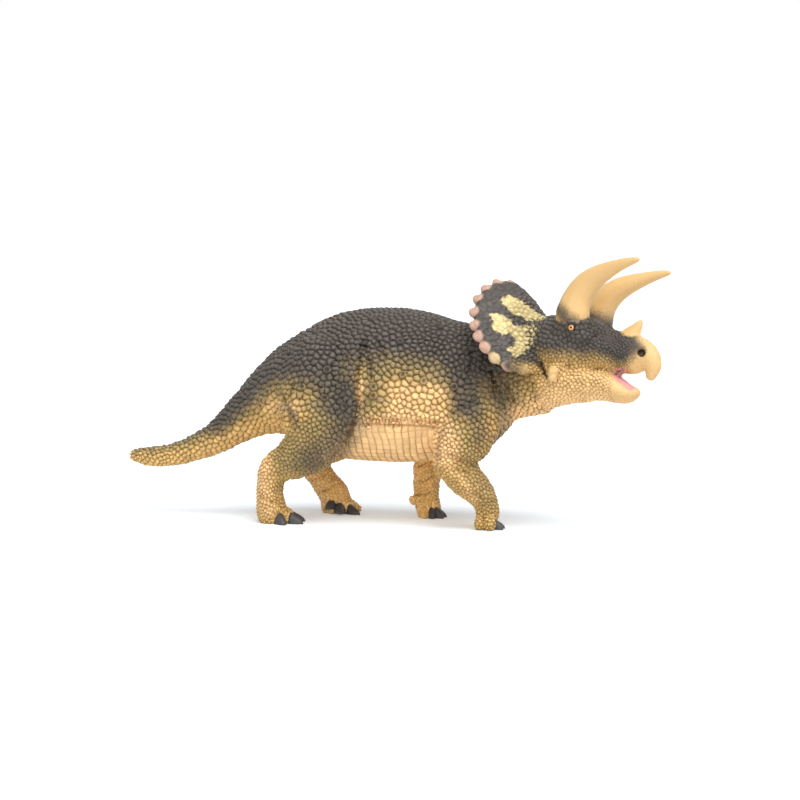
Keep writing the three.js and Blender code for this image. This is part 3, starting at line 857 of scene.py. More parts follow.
@dataclass(frozen=True)
class HideFinish:
    """Painted scaly vinyl: a base coat, sprayed coats, a wash in the grooves with painted shade, and a dry
    brush on the tops with a painted highlight.
    """

    name: str
    slot: str
    base: Triple
    coats: dict[Coat, Triple]
    wash: Triple = (164, 132, 94)
    dark_wash: Triple = (104, 92, 84)
    wash_amount: float = 0.9
    # How much the tops are lightened: dry brush with a painted highlight.
    brush: float = 0.24
    spread: float = 0.3
    mottle: float = 0.5
    roughness: float = 0.5
    grain_height: float = 0.00006

    def build(self, effects: dict[str, Tree]) -> Material:
        """Makes the material.

        Args:
            effects: The shared node groups by name.

        Returns:
            The material.
        """
        material, shader = Shader.material(self.name)
        inputs = {
            "Paint": shader.spray(to_linear(*self.base), self.coats, effects),
            "Wash": self.wash_amount,
            "Brush": self.brush,
            "Spread": self.spread,
            "Wash Colour": to_linear(*self.wash),
            "Dark Wash": to_linear(*self.dark_wash),
            "Shade": shader.value(Coat.UMBER.value),
            "Mottle": self.mottle,
        }
        for mark in Mark:
            inputs[mark.value.title()] = shader.value(mark.value)
        washed = shader.add("Group", inputs, node_tree=effects["wash"])
        grain = shader.add("Group", {"Roughness": self.roughness}, node_tree=effects["grain"])
        shader.finish(washed.outputs["Colour"], grain, self.grain_height)
        return material


@dataclass(frozen=True)
class KeratinFinish:
    """Smooth painted vinyl of the claws and eyes, with a colour that follows the mesh."""

    name: str
    slot: str
    base: Triple
    coats: dict[Coat, Triple] = field(default_factory=dict)
    roughness: float = 0.4
    grain: float = 700.0
    grain_height: float = 0.00004
    mottle: float = 0.12
    mottle_grain: float = 260.0

    def build(self, effects: dict[str, Tree]) -> Material:
        """Makes the material.

        Args:
            effects: The shared node groups by name.

        Returns:
            The material.
        """
        material, shader = Shader.material(self.name)
        noise = shader.math("MULTIPLY", shader.noise(self.mottle_grain, 3.0), self.mottle)
        tint = shader.grey(shader.math("ADD", noise, 1 - self.mottle / 2))
        paint = shader.mix(1.0, to_linear(*self.base), tint, "MULTIPLY")
        inputs = {"Grain": self.grain, "Roughness": self.roughness}
        grain = shader.add("Group", inputs, node_tree=effects["grain"])
        shader.finish(shader.spray(paint, self.coats, effects), grain, self.grain_height)
        return material


@dataclass(frozen=True)
class Look:
    """A finish with its material."""

    finish: HideFinish | KeratinFinish
    material: Material


def dress(name: str, skin: Skin, normals: Array, values: dict[str, Array], look: Look,
          stands_for: tuple[str, ...] = ()) -> None:
    """Makes a piece of the figure from arrays and puts it on the body.

    Args:
        name: The piece's name.
        skin: Its surface in millimetres.
        normals: The direction to shade with at each point.
        values: Named values at each point.
        look: The finish that it takes.
        stands_for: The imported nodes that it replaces.
    """
    mesh = bpy.data.meshes.new(name)
    three = skin.faces[:, 3] == skin.faces[:, 0]
    sizes = np.where(three, 3, 4)
    keep = np.ones(skin.faces.shape, bool)
    keep[three, 3] = False
    corners = skin.faces[keep]
    mesh.vertices.add(len(skin.points))
    mesh.vertices.foreach_set("co", (skin.points * MM).astype(np.float32).ravel())
    mesh.loops.add(len(corners))
    mesh.loops.foreach_set("vertex_index", corners.astype(np.int32))
    mesh.polygons.add(len(sizes))
    mesh.polygons.foreach_set("loop_start", (np.cumsum(sizes) - sizes).astype(np.int32))
    mesh.update(calc_edges=True)
    mesh.shade_smooth()
    mesh.normals_split_custom_set_from_vertices(normals.astype(np.float32))
    for label, value in values.items():
        layer = mesh.attributes.new(label, "FLOAT", "POINT")
        layer.data.foreach_set("value", value.astype(np.float32))
    mesh.materials.append(look.material)
    piece = bpy.data.objects.new(name, mesh)
    bpy.context.scene.collection.objects.link(piece)
    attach(piece, BODY)
    if stands_for:
        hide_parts(*stands_for)
    LOG.info("%s: %d points, %d faces", name, len(skin.points), len(skin.faces))


def capped(skin: Skin, normals: Array, chosen: Array, depth: float = 1.2) -> tuple[Skin, Array, Array]:
    """Cuts some faces out of a surface and closes the cut edges with a cap inside the body.

    Args:
        skin: The whole surface.
        normals: Its directions.
        chosen: Which faces are kept.
        depth: How far the cap's middle sinks, in millimetres.

    Returns:
        The closed piece, its directions, and for each of its points the whole surface's point.
    """
    faces = skin.faces[chosen]
    used, corners = np.unique(faces, return_inverse=True)
    faces = corners.reshape(faces.shape)
    starts = faces.ravel()
    ends = np.roll(faces, -1, axis=1).ravel()
    real = starts != ends
    one_way = set(zip(starts[real].tolist(), ends[real].tolist()))
    follow: dict[int, list[int]] = {}
    for a, b in one_way:
        if (b, a) not in one_way:
            follow.setdefault(b, []).append(a)
    points = [skin.points[used]]
    directions = [normals[used]]
    source = [used]
    count = len(used)
    caps = []
    while follow:
        start = next(iter(follow))
        loop = [start]
        at = follow[start].pop()
        if not follow[start]:
            del follow[start]
        while at != start and at in follow:
            loop.append(at)
            step = follow[at].pop()
            if not follow[at]:
                del follow[at]
            at = step
        ring = skin.points[used[loop]]
        inward = -normals[used[loop]].mean(axis=0)
        middle = ring.mean(axis=0) + depth * inward
        points.append(middle[None])
        directions.append(-inward[None] if np.linalg.norm(inward) > 1e-6 else np.array([[0.0, 0.0, 1.0]]))
        source.append(used[loop[:1]])
        caps += [[loop[i], loop[(i + 1) % len(loop)], count, loop[i]] for i in range(len(loop))]
        count += 1
    if caps:
        faces = np.concatenate([faces, np.array(caps)])
    return Skin(np.concatenate(points), faces), np.concatenate(directions), np.concatenate(source)


@dataclass
class Trunk:
    """The torso and tail: round scales, smaller to the tail's tip, and plates across the belly."""

    scale: float = 2.0
    neck_scale: float = 1.85
    tail_scale: float = 2.05
    tip_scale: float = 1.5
    relief: float = 0.62
    tip_relief: float = 0.6
    rosette_scale: float = 3.6
    wrinkle_height: float = 36.6
    wrinkle_width: float = 1.9
    wrinkle_shrink: float = 0.42
    plate_length: float = 2.3
    plate_width: float = 2.5
    plate_relief: float = 0.36
    across_groove: float = 0.22
    along_groove: float = 0.18
    along_share: float = 0.75
    belly_top: float = 35.2
    belly_ends: Pair = (-26, 27)
    girth_middle: Pair = (0.6, 46.5)
    girth_radius: float = 23
    centre_line: tuple[Pair, ...] = (
        (-94.6, 5.6), (-77.3, 2.8), (-63.3, 1.1), (-49.3, 0.6), (37.7, 0.6), (54.7, -3.4),
    )
    folds: tuple[Fold, ...] = (
        Fold(
            ((-6.6, -15.6, 62), (-7.6, -19.6, 53.9), (-7.5, -21.2, 45.5), (-8.4, -20.6, 37.6),
             (-12.4, -17.1, 30.3), (-17.5, -17.6, 24)),
            BACK, 1.1, 1.3, 11, 1.2,
        ),
        Fold(
            ((-9, 17, 56), (-7.4, 21, 46), (-7.8, 21.6, 40), (-10, 21, 32), (-16, 19.5, 25)),
            BACK, 0.9, 1.0, 11, 1.2,
        ),
        Fold(((-5.7, -15.7, 62), (-3.9, -18.7, 56.6), (-2.8, -20.7, 50.7)), AHEAD, 0.5, 0.9, 4, 0.8),
        Fold(((-3.5, -12.7, 66.3), (-0.8, -15.8, 62.1), (1.8, -18, 58.3)), (1, 0, 0.3), 0.3, 0.6, 4, 0.8),
        Fold(
            ((-36, -17, 46), (-32.5, -19.1, 42.4), (-30.1, -20.4, 39.1), (-31, -19.8, 35.5)),
            (1, 0, -0.5), 0.8, 1.2, 7, 1.1,
        ),
        Fold(((-36, 18, 46), (-33, 20, 41), (-33, 20.5, 36)), (1, 0, -0.5), 0.8, 1.2, 7, 1.1),
        Fold(((-30, -20, 38.6), (-36, -17.5, 36.8), (-42, -12, 36.5)), UP, 0.55, 1.3, 5, 0.9),
        Fold(((-30.2, -20.4, 40), (-28, -20.8, 43), (-24, -20.8, 46)), UP, 0.5, 1.1, 4, 0.8),
        Fold(((-30.6, -20.2, 40), (-31, -19.8, 44), (-30, -19.4, 48)), AHEAD, 0.5, 1.1, 4, 0.8),
        Fold(((-31, -19.8, 41), (-36, -17, 44), (-40, -14.5, 48)), UP, 0.5, 1.1, 4, 0.8),
        Fold(((-31, -20, 39), (-36, -17.4, 40), (-42, -13, 42)), UP, 0.5, 1.0, 4, 0.8),
        Fold(((-29.6, -20.6, 38), (-25, -20.8, 36), (-21, -21, 33)), UP, 0.4, 0.9, 4, 0.7),
        Fold(((23.4, -21.5, 22.7), (27.5, -21.8, 21), (31.4, -20, 20)), UP, 0.3, 0.6, 3, 0.7),
        Fold(
            ((-3, -21.2, 37.8), (6, -20.9, 37.4), (14, -19.8, 37), (20, -18.6, 36.4)),
            UP, 0.4, 0.8, 3.5, 0.7,
        ),
        Fold(
            ((19.9, -20.3, 24.7), (20.9, -20.2, 30.8), (22.8, -19.5, 36.9), (26.7, -20.1, 40.7),
             (30.4, -20, 42.8)),
            (0.7, 0, -0.7), 0.9, 1.0, 10, 1.1,
        ),
        Fold(
            ((19, 19, 47), (16.8, 20.5, 42), (13.4, 21.5, 36), (9.8, 21, 30), (7, 19, 25)),
            AHEAD, 0.8, 1.0, 10, 1.1,
        ),
        Fold(((31.7, -19.6, 24.2), (28.8, -21.8, 24.7), (25.4, -22.4, 26.7)), UP, 0.8, 0.8, 6, 0.9),
        Fold(
            ((-12, -19.5, 35.5), (0.3, -20.6, 35.6), (10.5, -19.9, 35.4), (19.8, -18.2, 34.6)),
            UP, 0.5, 0.9, 6, 0.8,
        ),
        Fold(((-9, 20.6, 35.5), (0.3, 21.7, 35.6), (10.5, 21, 35.4)), UP, 0.5, 0.6, 6, 0.8),
        Fold(((5, -20.8, 38.7), (15.6, -19.6, 38), (22, -18.7, 36.7)), UP, 0.3, 0.5, 4, 0.7),
        Fold(((30.2, -11.7, 60), (30.3, -16, 49.2), (33.8, -19.6, 42.9)), AHEAD, 0.5, 0.9, 5, 1),
        Fold(((37.4, -13.5, 53.5), (38.5, -15.6, 45.9)), AHEAD, 0.5, 0.9, 5, 1),
        Fold(((42.5, -13.1, 49.2), (44.6, -11.2, 43.9)), AHEAD, 0.5, 1.1, 4, 0.9),
        Fold(((46.5, -12.6, 50), (48.6, -10.6, 44.5), (51, -7.5, 41.5)), AHEAD, 0.5, 1.1, 4, 0.8),
        Fold(((33.5, -15, 50), (35.2, -16, 44), (39, -14.6, 40)), AHEAD, 0.4, 1.0, 4, 0.8),
        Fold(((30.2, 12.8, 60), (30.3, 17, 49.2), (33.8, 19, 42.9)), AHEAD, 0.4, 0.5, 5, 1),
        Fold(((37.4, 14.6, 53.5), (38.5, 15.6, 45.9)), AHEAD, 0.4, 0.5, 5, 1),
    )
    bulges: tuple[Bulge, ...] = (
        Bulge(((-17, -21, 46), (-20, -21.5, 36), (-24, -21, 30)), 11, 0.3),
        Bulge(((26.3, -21.8, 32.8), (30.7, -21.5, 35.2)), 9, 0.4),
        Bulge(((20, 22, 34),), 9, 0.3),
        Bulge(((-37.5, -14.5, 27), (-40, -14.5, 24.5)), 4, -0.6),
        Bulge(((-10, -3, 72), (6, -3, 72)), 9, 0.3),
        Bulge(((10, -20, 46),), 12, 0.5),
    )
    sprays: tuple[Spray, ...] = (
        peach(((340, 442), (380, 440), (440, 440)), 30, 1.0, 0.6),
        peach(((398, 402), (420, 397), (438, 394)), 29, 0.75, 0.0),
        peach(((392, 417), (438, 415)), 12, 0.7, 0.2),
        # A pale strip down the thigh's front edge: a painted highlight.
        peach(((361, 368), (359, 400), (356, 425)), 6, 0.8, 0.2),
        tan(((132, 458), (180, 457), (220, 444), (250, 432), (278, 426)), 14, 0.45, 0.2),
        peach(((512, 417), (535, 407), (570, 403), (612, 399)), 18, 0.85, 0.3),
        olive(((300, 400), (314, 408), (318, 425)), 20, 0.5, 0.1),
        peach(((262, 402), (276, 406), (290, 408)), 14, 0.6, 0.0),
        umber(((284, 405), (293, 414), (297, 426)), 7, 0.7, 0.0),
        olive(((150, 448), (190, 441), (225, 419), (256, 392)), 15, 0.85, 0.2),
        olive(((250, 392), (300, 380), (350, 370), (400, 368), (440, 372)), 24, 0.75, 0.1),
        olive(((376, 372), (378, 395), (376, 408)), 17, 0.65, 0.1),
        olive(((455, 380), (470, 395), (495, 402), (515, 394)), 22, 0.7, 0.2),
        umber(((300, 336), (345, 318), (400, 314), (450, 324), (480, 335)), 71, 1.0, 0.42),
        umber(((215, 410), (228, 398), (262, 362), (300, 336)), 36, 1.0, 0.3),
        umber(((312, 352), (330, 376), (338, 400)), 34, 0.9, 0.2),
        olive(((330, 396), (325, 425), (306, 444), (290, 456)), 26, 0.8, 0.4),
        umber(((349, 398), (347, 422), (333, 449), (312, 464)), 30, 0.8, 0.1),
        umber(((370, 360), (373, 385), (372, 400)), 15, 0.3, 0.1),
        # A dark line beside the thigh's front edge: wash and painted shade in the crease.
        umber(((354, 350), (351, 372), (350, 396), (348, 418), (340, 438)), 6, 0.6, 0.1),
        # Dark between the flank and the upper arm: painted shadow.
        umber(((474, 402), (460, 409), (448, 421), (441, 440), (438, 456)), 8, 0.3, 0.0),
        umber(((458, 345), (464, 375), (466, 402)), 26, 0.9, 0.25),
        umber(((500, 400), (506, 424), (498, 446)), 14, 0.55, 0.1),
        # These two darken the neck under the frill: umber paint, with painted shade under the frill's edge.
        umber(((480, 345), (492, 370), (500, 388)), 28, 0.6, 0.2),
        umber(((513, 372), (530, 384), (536, 396)), 8, 0.3, 0.1),
        umber(((132, 448), (160, 441), (185, 435), (205, 423), (230, 399)), 14, 0.85, 0.1),
        # Takes the dark coat off the thigh's front edge, for its painted highlight.
        umber(((361, 372), (360, 400)), 5, -0.85, 0.2),
    )
    rosettes: tuple[Triple, ...] = (
        (-33.5, -9.4, 58.6), (-11.5, -17.5, 57.7), (-18.7, -18, 53.1), (-27.1, -19.7, 47.3),
        (-11.5, -20.5, 48.1), (-19, -21.1, 44.2), (-11.5, -20.8, 41.6), (-44.4, -9.9, 39.8),
        (-41.1, -11.7, 44.9), (-56.3, -5.9, 33.8), (8.1, -19.8, 52.5), (15.2, -19.3, 50.5),
        (-2, -21.2, 48.4), (-1.9, -21.6, 45.3), (18.2, -7.2, 67.9), (25.1, -17.5, 48.5),
        (36.1, -14, 49.8), (39.5, -13.6, 46.8), (-25, -8, 66), (-5, -8, 70), (6, -14, 63),
    )

    def middle(self, points: Array) -> Array:
        """Gives the body's middle, across it, at each point."""
        along, across = np.array(self.centre_line).T
        return np.interp(points[:, 0], along, across)

    def rosette_places(self) -> Array:
        """Gives the places of the ringed scales on both sides, one a row."""
        near = np.array(self.rosettes)
        far = near * (1, -1, 1) + (0, 2 * self.girth_middle[0], 0)
        return np.concatenate([near, far])

    def spacing(self, points: Array, tail: Array) -> Array:
        """Gives the scales' spacing at each point.

        Args:
            points: Places in millimetres.
            tail: Each point's share of the tail.

        Returns:
            The spacing in millimetres.
        """
        toward_neck = smooth_step(24, 50, points[:, 0])
        trunk = self.scale + (self.neck_scale - self.scale) * toward_neck
        toward_tip = 1 - smooth_step(-92, -50, points[:, 0])
        along_tail = self.tail_scale + (self.tip_scale - self.tail_scale) * toward_tip
        wrinkled = bell(points[:, 2] - self.wrinkle_height, self.wrinkle_width)
        wrinkled = wrinkled * smooth_step(-10, -4, points[:, 0])
        trunk = trunk * (1 - self.wrinkle_shrink * wrinkled * (1 - smooth_step(18, 24, points[:, 0])))
        return trunk + (along_tail - trunk) * tail

    def plates(self, points: Array, torso: Array) -> "Plates":
        """Lays rectangular plates in rows round the belly.

        Args:
            points: Places in millimetres.
            torso: Each point's share of the torso.

        Returns:
            The plates' own values at each point.
        """
        across = points[:, 1] - self.girth_middle[0]
        turn = np.arctan2(np.abs(across), self.girth_middle[1] - points[:, 2])
        along = points[:, 0] + 0.8 * soft_noise(points, 9, 21) + 0.25 * soft_noise(points, 2.5, 27)
        around = turn * self.girth_radius + 0.6 * soft_noise(points, 6, 22)
        ragged = 2.2 * soft_noise(points, 5, 23) + 1.3 * soft_noise(points, 2, 26)
        above = smooth_step(-1.0, 1.0, points[:, 2] - self.belly_top + ragged)
        low, high = self.belly_ends
        zone = smooth_step(0.35, 0.75, torso) * (1 - above)
        zone *= smooth_step(-1, 1, points[:, 0] - low) * (1 - smooth_step(-1, 1, points[:, 0] - high))
        column = along / self.plate_length
        row = around / self.plate_width
        to_column = (np.round(column) - column) * self.plate_length
        to_row = (np.round(row) - row) * self.plate_width
        rows_fade = 0.65 + 0.4 * soft_noise(points, 5, 24) + 0.35 * (1 - smooth_step(12, 19, around))
        columns_fade = 0.85 + 0.3 * soft_noise(points, 7, 25) + 0.2 * smooth_step(30, 24, points[:, 2])
        columns_fade -= 0.45 * smooth_step(4, 20, points[:, 0]) * smooth_step(27, 34, points[:, 2])
        columns = np.clip(columns_fade, 0.1, 1) * bell(to_column, self.across_groove)
        groove = np.maximum(columns, self.along_share * rows_fade * bell(to_row, self.along_groove))
        number = np.floor(column).astype(int) * 31 + np.floor(row).astype(int) * 7 + (across > 0) * 17
        return Plates(zone, groove, to_column, number)


@dataclass
class Plates:
    """The belly's plates: how much each point lies on them, and its place among them."""

    zone: Array
    groove: Array
    to_column: Array
    number: Array


@dataclass(frozen=True)
class Toe:
    """A toe: the way it points, where its hoof starts, and the hoof's sizes in millimetres."""

    angle: float
    reach: float
    length: float = 5.0
    width: float = 3.8
    height: float = 3.7
    hoof: bool = True
    rise: float = 0.0


@dataclass
class Leg:
    """A leg: scales that shrink to the foot, and dark hooves on its toes."""

    node: str
    foot: Pair
    toes: tuple[Toe, ...]
    line: tuple[Pair, ...]
    side: int
    thigh_scale: float = 2.0
    shin_scale: float = 1.35
    foot_scale: float = 1.15
    relief: float = 0.6
    foot_relief: float = 0.38
    pad_back: float = 2.2
    pad_length: float = 2.4
    pad_side: float = 0.2
    pad_height: float = 0.6
    pad_rise: float = 0.55
    hoof_overlap: float = 0.6
    hoof_blunt: Pair = (2.4, 0.62)
    hoof_taper: float = 0.12
    hoof_slope: float = 0.66
    hoof_sole: float = 0.12
    hoof_lift: float = 0.14
    tuck_shares: Triple = (0.55, 0.6, 0.6)
    tuck_lift: float = 0.2
    lumps: tuple[tuple[Triple, Triple], ...] = ()
    folds: tuple[Fold, ...] = ()
    bulges: tuple[Bulge, ...] = ()
    sprays: tuple[Spray, ...] = ()

    def spacing(self, points: Array) -> Array:
        """Gives the scales' spacing at each point, in millimetres."""
        upper = smooth_step(22, 46, points[:, 2])
        lower = smooth_step(3, 14, points[:, 2])
        small = self.foot_scale + (self.shin_scale - self.foot_scale) * lower
        return small + (self.thigh_scale - small) * upper

    def height(self, points: Array) -> Array:
        """Gives the scales' height at each point, in millimetres."""
        return self.foot_relief + (self.relief - self.foot_relief) * smooth_step(14, 36, points[:, 2])

    def axes(self, toe: Toe) -> tuple[Array, Array, Array]:
        """Gives the ways that a toe points: forward, to its left and up."""
        turn = math.radians(toe.angle)
        forward = np.array([math.cos(turn), math.sin(turn), 0])
        return forward, np.array([-forward[1], forward[0], 0]), np.array([0, 0, 1.0])

    def flesh(self) -> list[Blob]:
        """Makes the toes' flesh.

        Returns:
            Blobs for the casting.
        """
        blobs = []
        for toe in self.toes:
            forward, left, up = self.axes(toe)
            root = np.array([*self.foot, 0.0]) + (toe.reach - self.pad_back) * forward
            beside = (toe.width / 2 + self.pad_side) * left
            axes = np.array([self.pad_length * forward, beside, self.pad_height * toe.height * up])
            blobs.append(ball(root + self.pad_rise * toe.height * up, axes))
        for at, size in self.lumps:
            blobs.append(ball(np.array(at), np.diag(size)))
        return blobs

    def tuck(self, points: Array) -> Array:
        """Draws the toes' tips into their hooves.

        Args:
            points: Places in millimetres.

        Returns:
            The changed places.
        """
        slim, narrow, flat = self.tuck_shares
        for toe in self.toes:
            if not toe.hoof:
                continue
            forward, left, up = self.axes(toe)
            root = np.array([*self.foot, 0.0]) + (toe.reach - self.hoof_overlap) * forward
            place = points - root
            ahead = place @ forward
            across = place @ left
            rise = place @ up
            beside = smooth_step(0.5, 1.4, np.abs(across) - toe.width / 2)
            above = smooth_step(0.8, 1.8, rise - toe.height)
            beyond = smooth_step(1, 3, ahead - toe.length)
            share = smooth_step(-0.3, 0.8, ahead) * (1 - beside)
            share *= (1 - above) * (1 - beyond)
            shortened = slim * np.minimum(ahead, toe.length + 2)
            target = root + shortened[:, None] * forward + narrow * across[:, None] * left
            target = target + (self.tuck_lift + flat * rise[:, None]) * up
            points = points + share[:, None] * (target - points)
        return points

    def hoof(self, toe: Toe, rings: int = 14, sides: int = 24) -> Skin:
        """Makes one hoof: round above, flat below, sloping to a blunt tip.

        Args:
            toe: Its toe.
            rings: How many sections it has.
            sides: How many points a section has.

        Returns:
            The hoof's closed surface.
        """
        forward, left, up = self.axes(toe)
        root = np.array([*self.foot, toe.rise]) + (toe.reach - self.hoof_overlap) * forward
        points = []
        for ring in range(rings):
            share = math.sin(0.5 * math.pi * ring / (rings - 1))
            slim = max(1 - share ** self.hoof_blunt[0], 0.01) ** self.hoof_blunt[1]
            width = toe.width * slim * (1 - self.hoof_taper * share)
            height = toe.height * (1 - self.hoof_slope * share) * math.sqrt(max(1 - share**6, 0.03))
            middle = root + forward * toe.length * share
            for number in range(sides):
                around = 2 * math.pi * number / sides
                rise = math.sin(around)
                rise = rise * height if rise > 0 else self.hoof_sole * rise
                beside = left * (width / 2) * math.cos(around)
                points.append(middle + beside + up * (self.hoof_lift + rise))
        faces = []
        for ring in range(rings - 1):
            for number in range(sides):
                a = ring * sides + number
                b = ring * sides + (number + 1) % sides
                faces.append([a, b, b + sides, a + sides])
        count = len(points)
        points += [np.mean(points[:sides], axis=0), np.mean(points[-sides:], axis=0)]
        last = (rings - 1) * sides
        for number in range(sides):
            after = (number + 1) % sides
            faces.append([after, number, count, after])
            faces.append([last + number, last + after, count + 1, last + number])
        return Skin(np.array(points), np.array(faces))


@dataclass
class Head:
    """The skull with its frill, and the lower jaw. Its places are in the head's frame, on its right side."""

    temple_scale: float = 1.75
    cheek_scale: float = 1.3
    snout_scale: float = 0.95
    frill_scale: float = 2.3
    relief: float = 0.4
    frill_reach: float = 19
    frill_height: float = 26.3
    frill_half_width: float = 23.6
    rim_shares: tuple[Triple, ...] = (
        (0.655, 0, 0.995), (0.785, 0.33, 0.93), (0.842, 0.6, 0.74), (0.747, 0.83, 0.48), (0.58, 0.97, 0.24),
        (0.38, 1, 0.05), (0.153, 0.93, -0.13), (-0.137, 0.76, -0.24), (-0.363, 0.52, -0.24),
    )
    studs_per_side: float = 10.5
    stud_along: float = 2.3
    stud_out: float = 2.6
    stud_thick: float = 1.2
    stud_sink: float = 1.5
    stud_edge: Pair = (2.2, 3.0)
    frill_middle: Triple = (2.0, 0, 6.0)
    eye: Pit = Pit((20.4, -11.9, 9.9), 0.5, 1.3, 0.55, 1.9)
    eye_diameter: float = 2.7
    eye_sink: float = 0.55
    nostril: Pit = Pit((43.2, -3.2, 4.0), 1.1, 1.1, 0.2, 2.0)
    cheek_horn: Triple = (15.2, -11.0, -6.2)
    cheek_squash: Triple = (1.2, 1, 0.8)
    cheek_edge: Pair = (2.4, 3.2)
    folds: tuple[Fold, ...] = (
        Fold(((9.0, -10.5, -2.6), (9.9, -10, -4), (10.8, -9, -5.6)), AHEAD, 0.5, 1.3, 3, 0.8),
        Fold(((31.5, -5.2, -0.8), (29, -6.6, -3), (26.5, -7.4, -7)), BACK, 0.4, 0.4, 4, 0.8),
    )
    bulges: tuple[Bulge, ...] = (
        Bulge(((18.5, -11.2, 12.6), (21.5, -11.4, 13), (24, -10, 12.4)), 2.8, 0.8),
        Bulge(((26, -8.5, 7), (31, -6.5, 6)), 4, 0.4),
        Bulge(((14, -11.8, 3), (20, -11.4, 2)), 5, 0.4),
    )
    upper_mark: tuple[Pair, ...] = (
        (11.9, 17.1), (8.3, 20.3), (6.4, 19.4), (4.5, 17.1), (1.6, 14.8),
        (5.3, 13.1), (8, 12.8), (10.2, 13.6), (11.5, 14.9),
    )
    lower_mark: tuple[Pair, ...] = (
        (17, 12.1), (14.8, 12.8), (13.6, 11.6), (13, 9.8), (11, 9.3), (8.6, 10.2), (6.2, 11.6),
        (4.6, 12.5), (8, 10.6), (10.3, 8.6), (11.1, 6.2), (11.1, 3.9), (14.5, -0.3), (16.6, -1),
        (17.5, 0.4), (14.7, 3.7), (13.7, 5.2), (15, 6.2), (17.6, 5.7), (19, 6.9), (18, 9.8),
    )
    sprays: tuple[Spray, ...] = (
        peach(((556, 388), (580, 384), (600, 386), (618, 390)), 26, 0.75, 0.2),
        umber(((530, 322), (556, 322), (580, 324)), 44, 1.0, 0.48),
        umber(((576, 330), (600, 336), (610, 342), (620, 347)), 26, 1.0, 0.35),
        umber(((596, 324), (612, 331), (630, 340)), 12, 0.9, 0.3),
        umber(((632, 344), (641, 350)), 11, 0.45, 0.0),
    )
    horn_sprays: tuple[Spray, ...] = (
        umber(((557, 308), (566, 320), (582, 326), (600, 322)), 12, 0.9, 0.0, -1),
        umber(((566, 312), (592, 320), (612, 322)), 19, 1.0, 0.1, 1),
        umber(((616, 338), (632, 344), (641, 348)), 8, 0.6, 0.0),
    )
    mouth_sprays: tuple[Spray, ...] = (
        gum(((616, 373), (618, 380), (625, 385), (633, 387)), 3.8, 1.0, 0.5),
        gum(((616, 372), (620, 370), (625, 369)), 3.2, 1.0, 0.4),
        # Painted shade at the back of the mouth.
        soot(((616, 373), (619, 370), (624, 369)), 2.6, 0.55, 0.1),
    )
    slit_spray: Spray = soot(((541, 363), (543, 368), (547, 377)), 2.6, 1.0, 0.2)
    low_stud_spray: Spray = lemon(((494, 352), (498, 360)), 8, 1.0, 0.4)
    end_stud_spray: Spray = umber(((510, 365), (528, 372)), 9, 1.0, 0.4)

    def rim(self) -> tuple[Array, Array]:
        """Finds the studs' places on the frill's rim.

        Returns:
            The studs' middles and the way along the rim at each, in the head's frame.
        """
        size = np.array([-self.frill_reach, -self.frill_half_width, self.frill_height])
        right = np.array(self.rim_shares) * size
        left = right[1:][::-1] * (1, -1, 1)
        corners = np.concatenate([left, right])
        stretches = len(corners) - 1
        count = int(2 * self.studs_per_side)
        shares = (np.arange(count) + 0.5) / count * stretches
        number = np.minimum(shares.astype(int), stretches - 1)
        part = (shares - number)[:, None]
        padded = np.concatenate([[2 * corners[0] - corners[1]], corners, [2 * corners[-1] - corners[-2]]])
        a, b, c, d = (padded[number + step] for step in range(4))
        bend = 2 * a - 5 * b + 4 * c - d
        swing = 3 * b - a - 3 * c + d
        at = 0.5 * (2 * b + (c - a) * part + bend * part**2 + swing * part**3)
        way = 0.5 * ((c - a) + 2 * bend * part + 3 * swing * part**2)
        return at, way / np.linalg.norm(way, axis=1)[:, None]

    def flesh(self) -> list[Blob]:
        """Makes the frill's studs and the cheek horns.

        Returns:
            Blobs for the casting.
        """
        blobs = []
        for at, way in zip(*self.rim()):
            out = at - np.array(self.frill_middle)
            out -= (out @ way) * way
            out /= np.linalg.norm(out)
            thick = np.cross(way, out)
            axes = np.array([way * self.stud_along, out * self.stud_out, thick * self.stud_thick])
            blobs.append(ball(at - self.stud_sink * out, axes))
        for side in (-1, 1):
            axes = np.array([[1.7, 0, -0.4], [0, 1.4, 0], [-0.5, side * 0.5, 2.5]])
            blobs.append(ball(np.array(self.cheek_horn) * (1, -side, 1), axes))
        return [(HeadPlace.world(points), faces) for points, faces in blobs]

    def stud_share(self, local: Array) -> Array:
        """Gives how much each point lies on a stud of the rim, in the head's frame."""
        away = np.min([np.linalg.norm(local - at, axis=1) for at in self.rim()[0]], axis=0)
        return 1 - smooth_step(*self.stud_edge, away)

    def cheek_share(self, local: Array) -> Array:
        """Gives how much each point lies on a cheek horn, in the head's frame."""
        away = (HeadPlace.right_half(local) - np.array(self.cheek_horn)) * self.cheek_squash
        return 1 - smooth_step(*self.cheek_edge, np.linalg.norm(away, axis=1))

    def spacing(self, local: Array, frill: Array) -> Array:
        """Gives the scales' spacing at each point.

        Args:
            local: Places in the head's frame.
            frill: Each point's share of the frill.

        Returns:
            The spacing in millimetres.
        """
        temple = smooth_step(0, 5, local[:, 2]) * (1 - smooth_step(20, 30, local[:, 0]))
        size = self.cheek_scale + (self.temple_scale - self.cheek_scale) * temple
        size = size + (self.snout_scale - size) * smooth_step(24, 36, local[:, 0])
        return size + (self.frill_scale - size) * frill

    def frill_share(self, local: Array) -> Array:
        """Gives how much each point lies on the frill, in the head's frame."""
        spread = np.hypot(local[:, 1], np.maximum(local[:, 2] - 6, 0) * 0.9)
        limit = 12.5 + 0.4 * (local[:, 0] + 8)
        return smooth_step(-0.5, 2.5, spread - limit) * (1 - smooth_step(5, 9, local[:, 0]))

    def bone_share(self, local: Array) -> Array:
        """Gives how much each point lies on the smooth beak, in the head's frame."""
        upper = smooth_step(36, 41, local[:, 0])
        lower = smooth_step(31, 36, local[:, 0]) * (1 - smooth_step(-5, -3, local[:, 2]))
        return np.maximum(upper, lower)


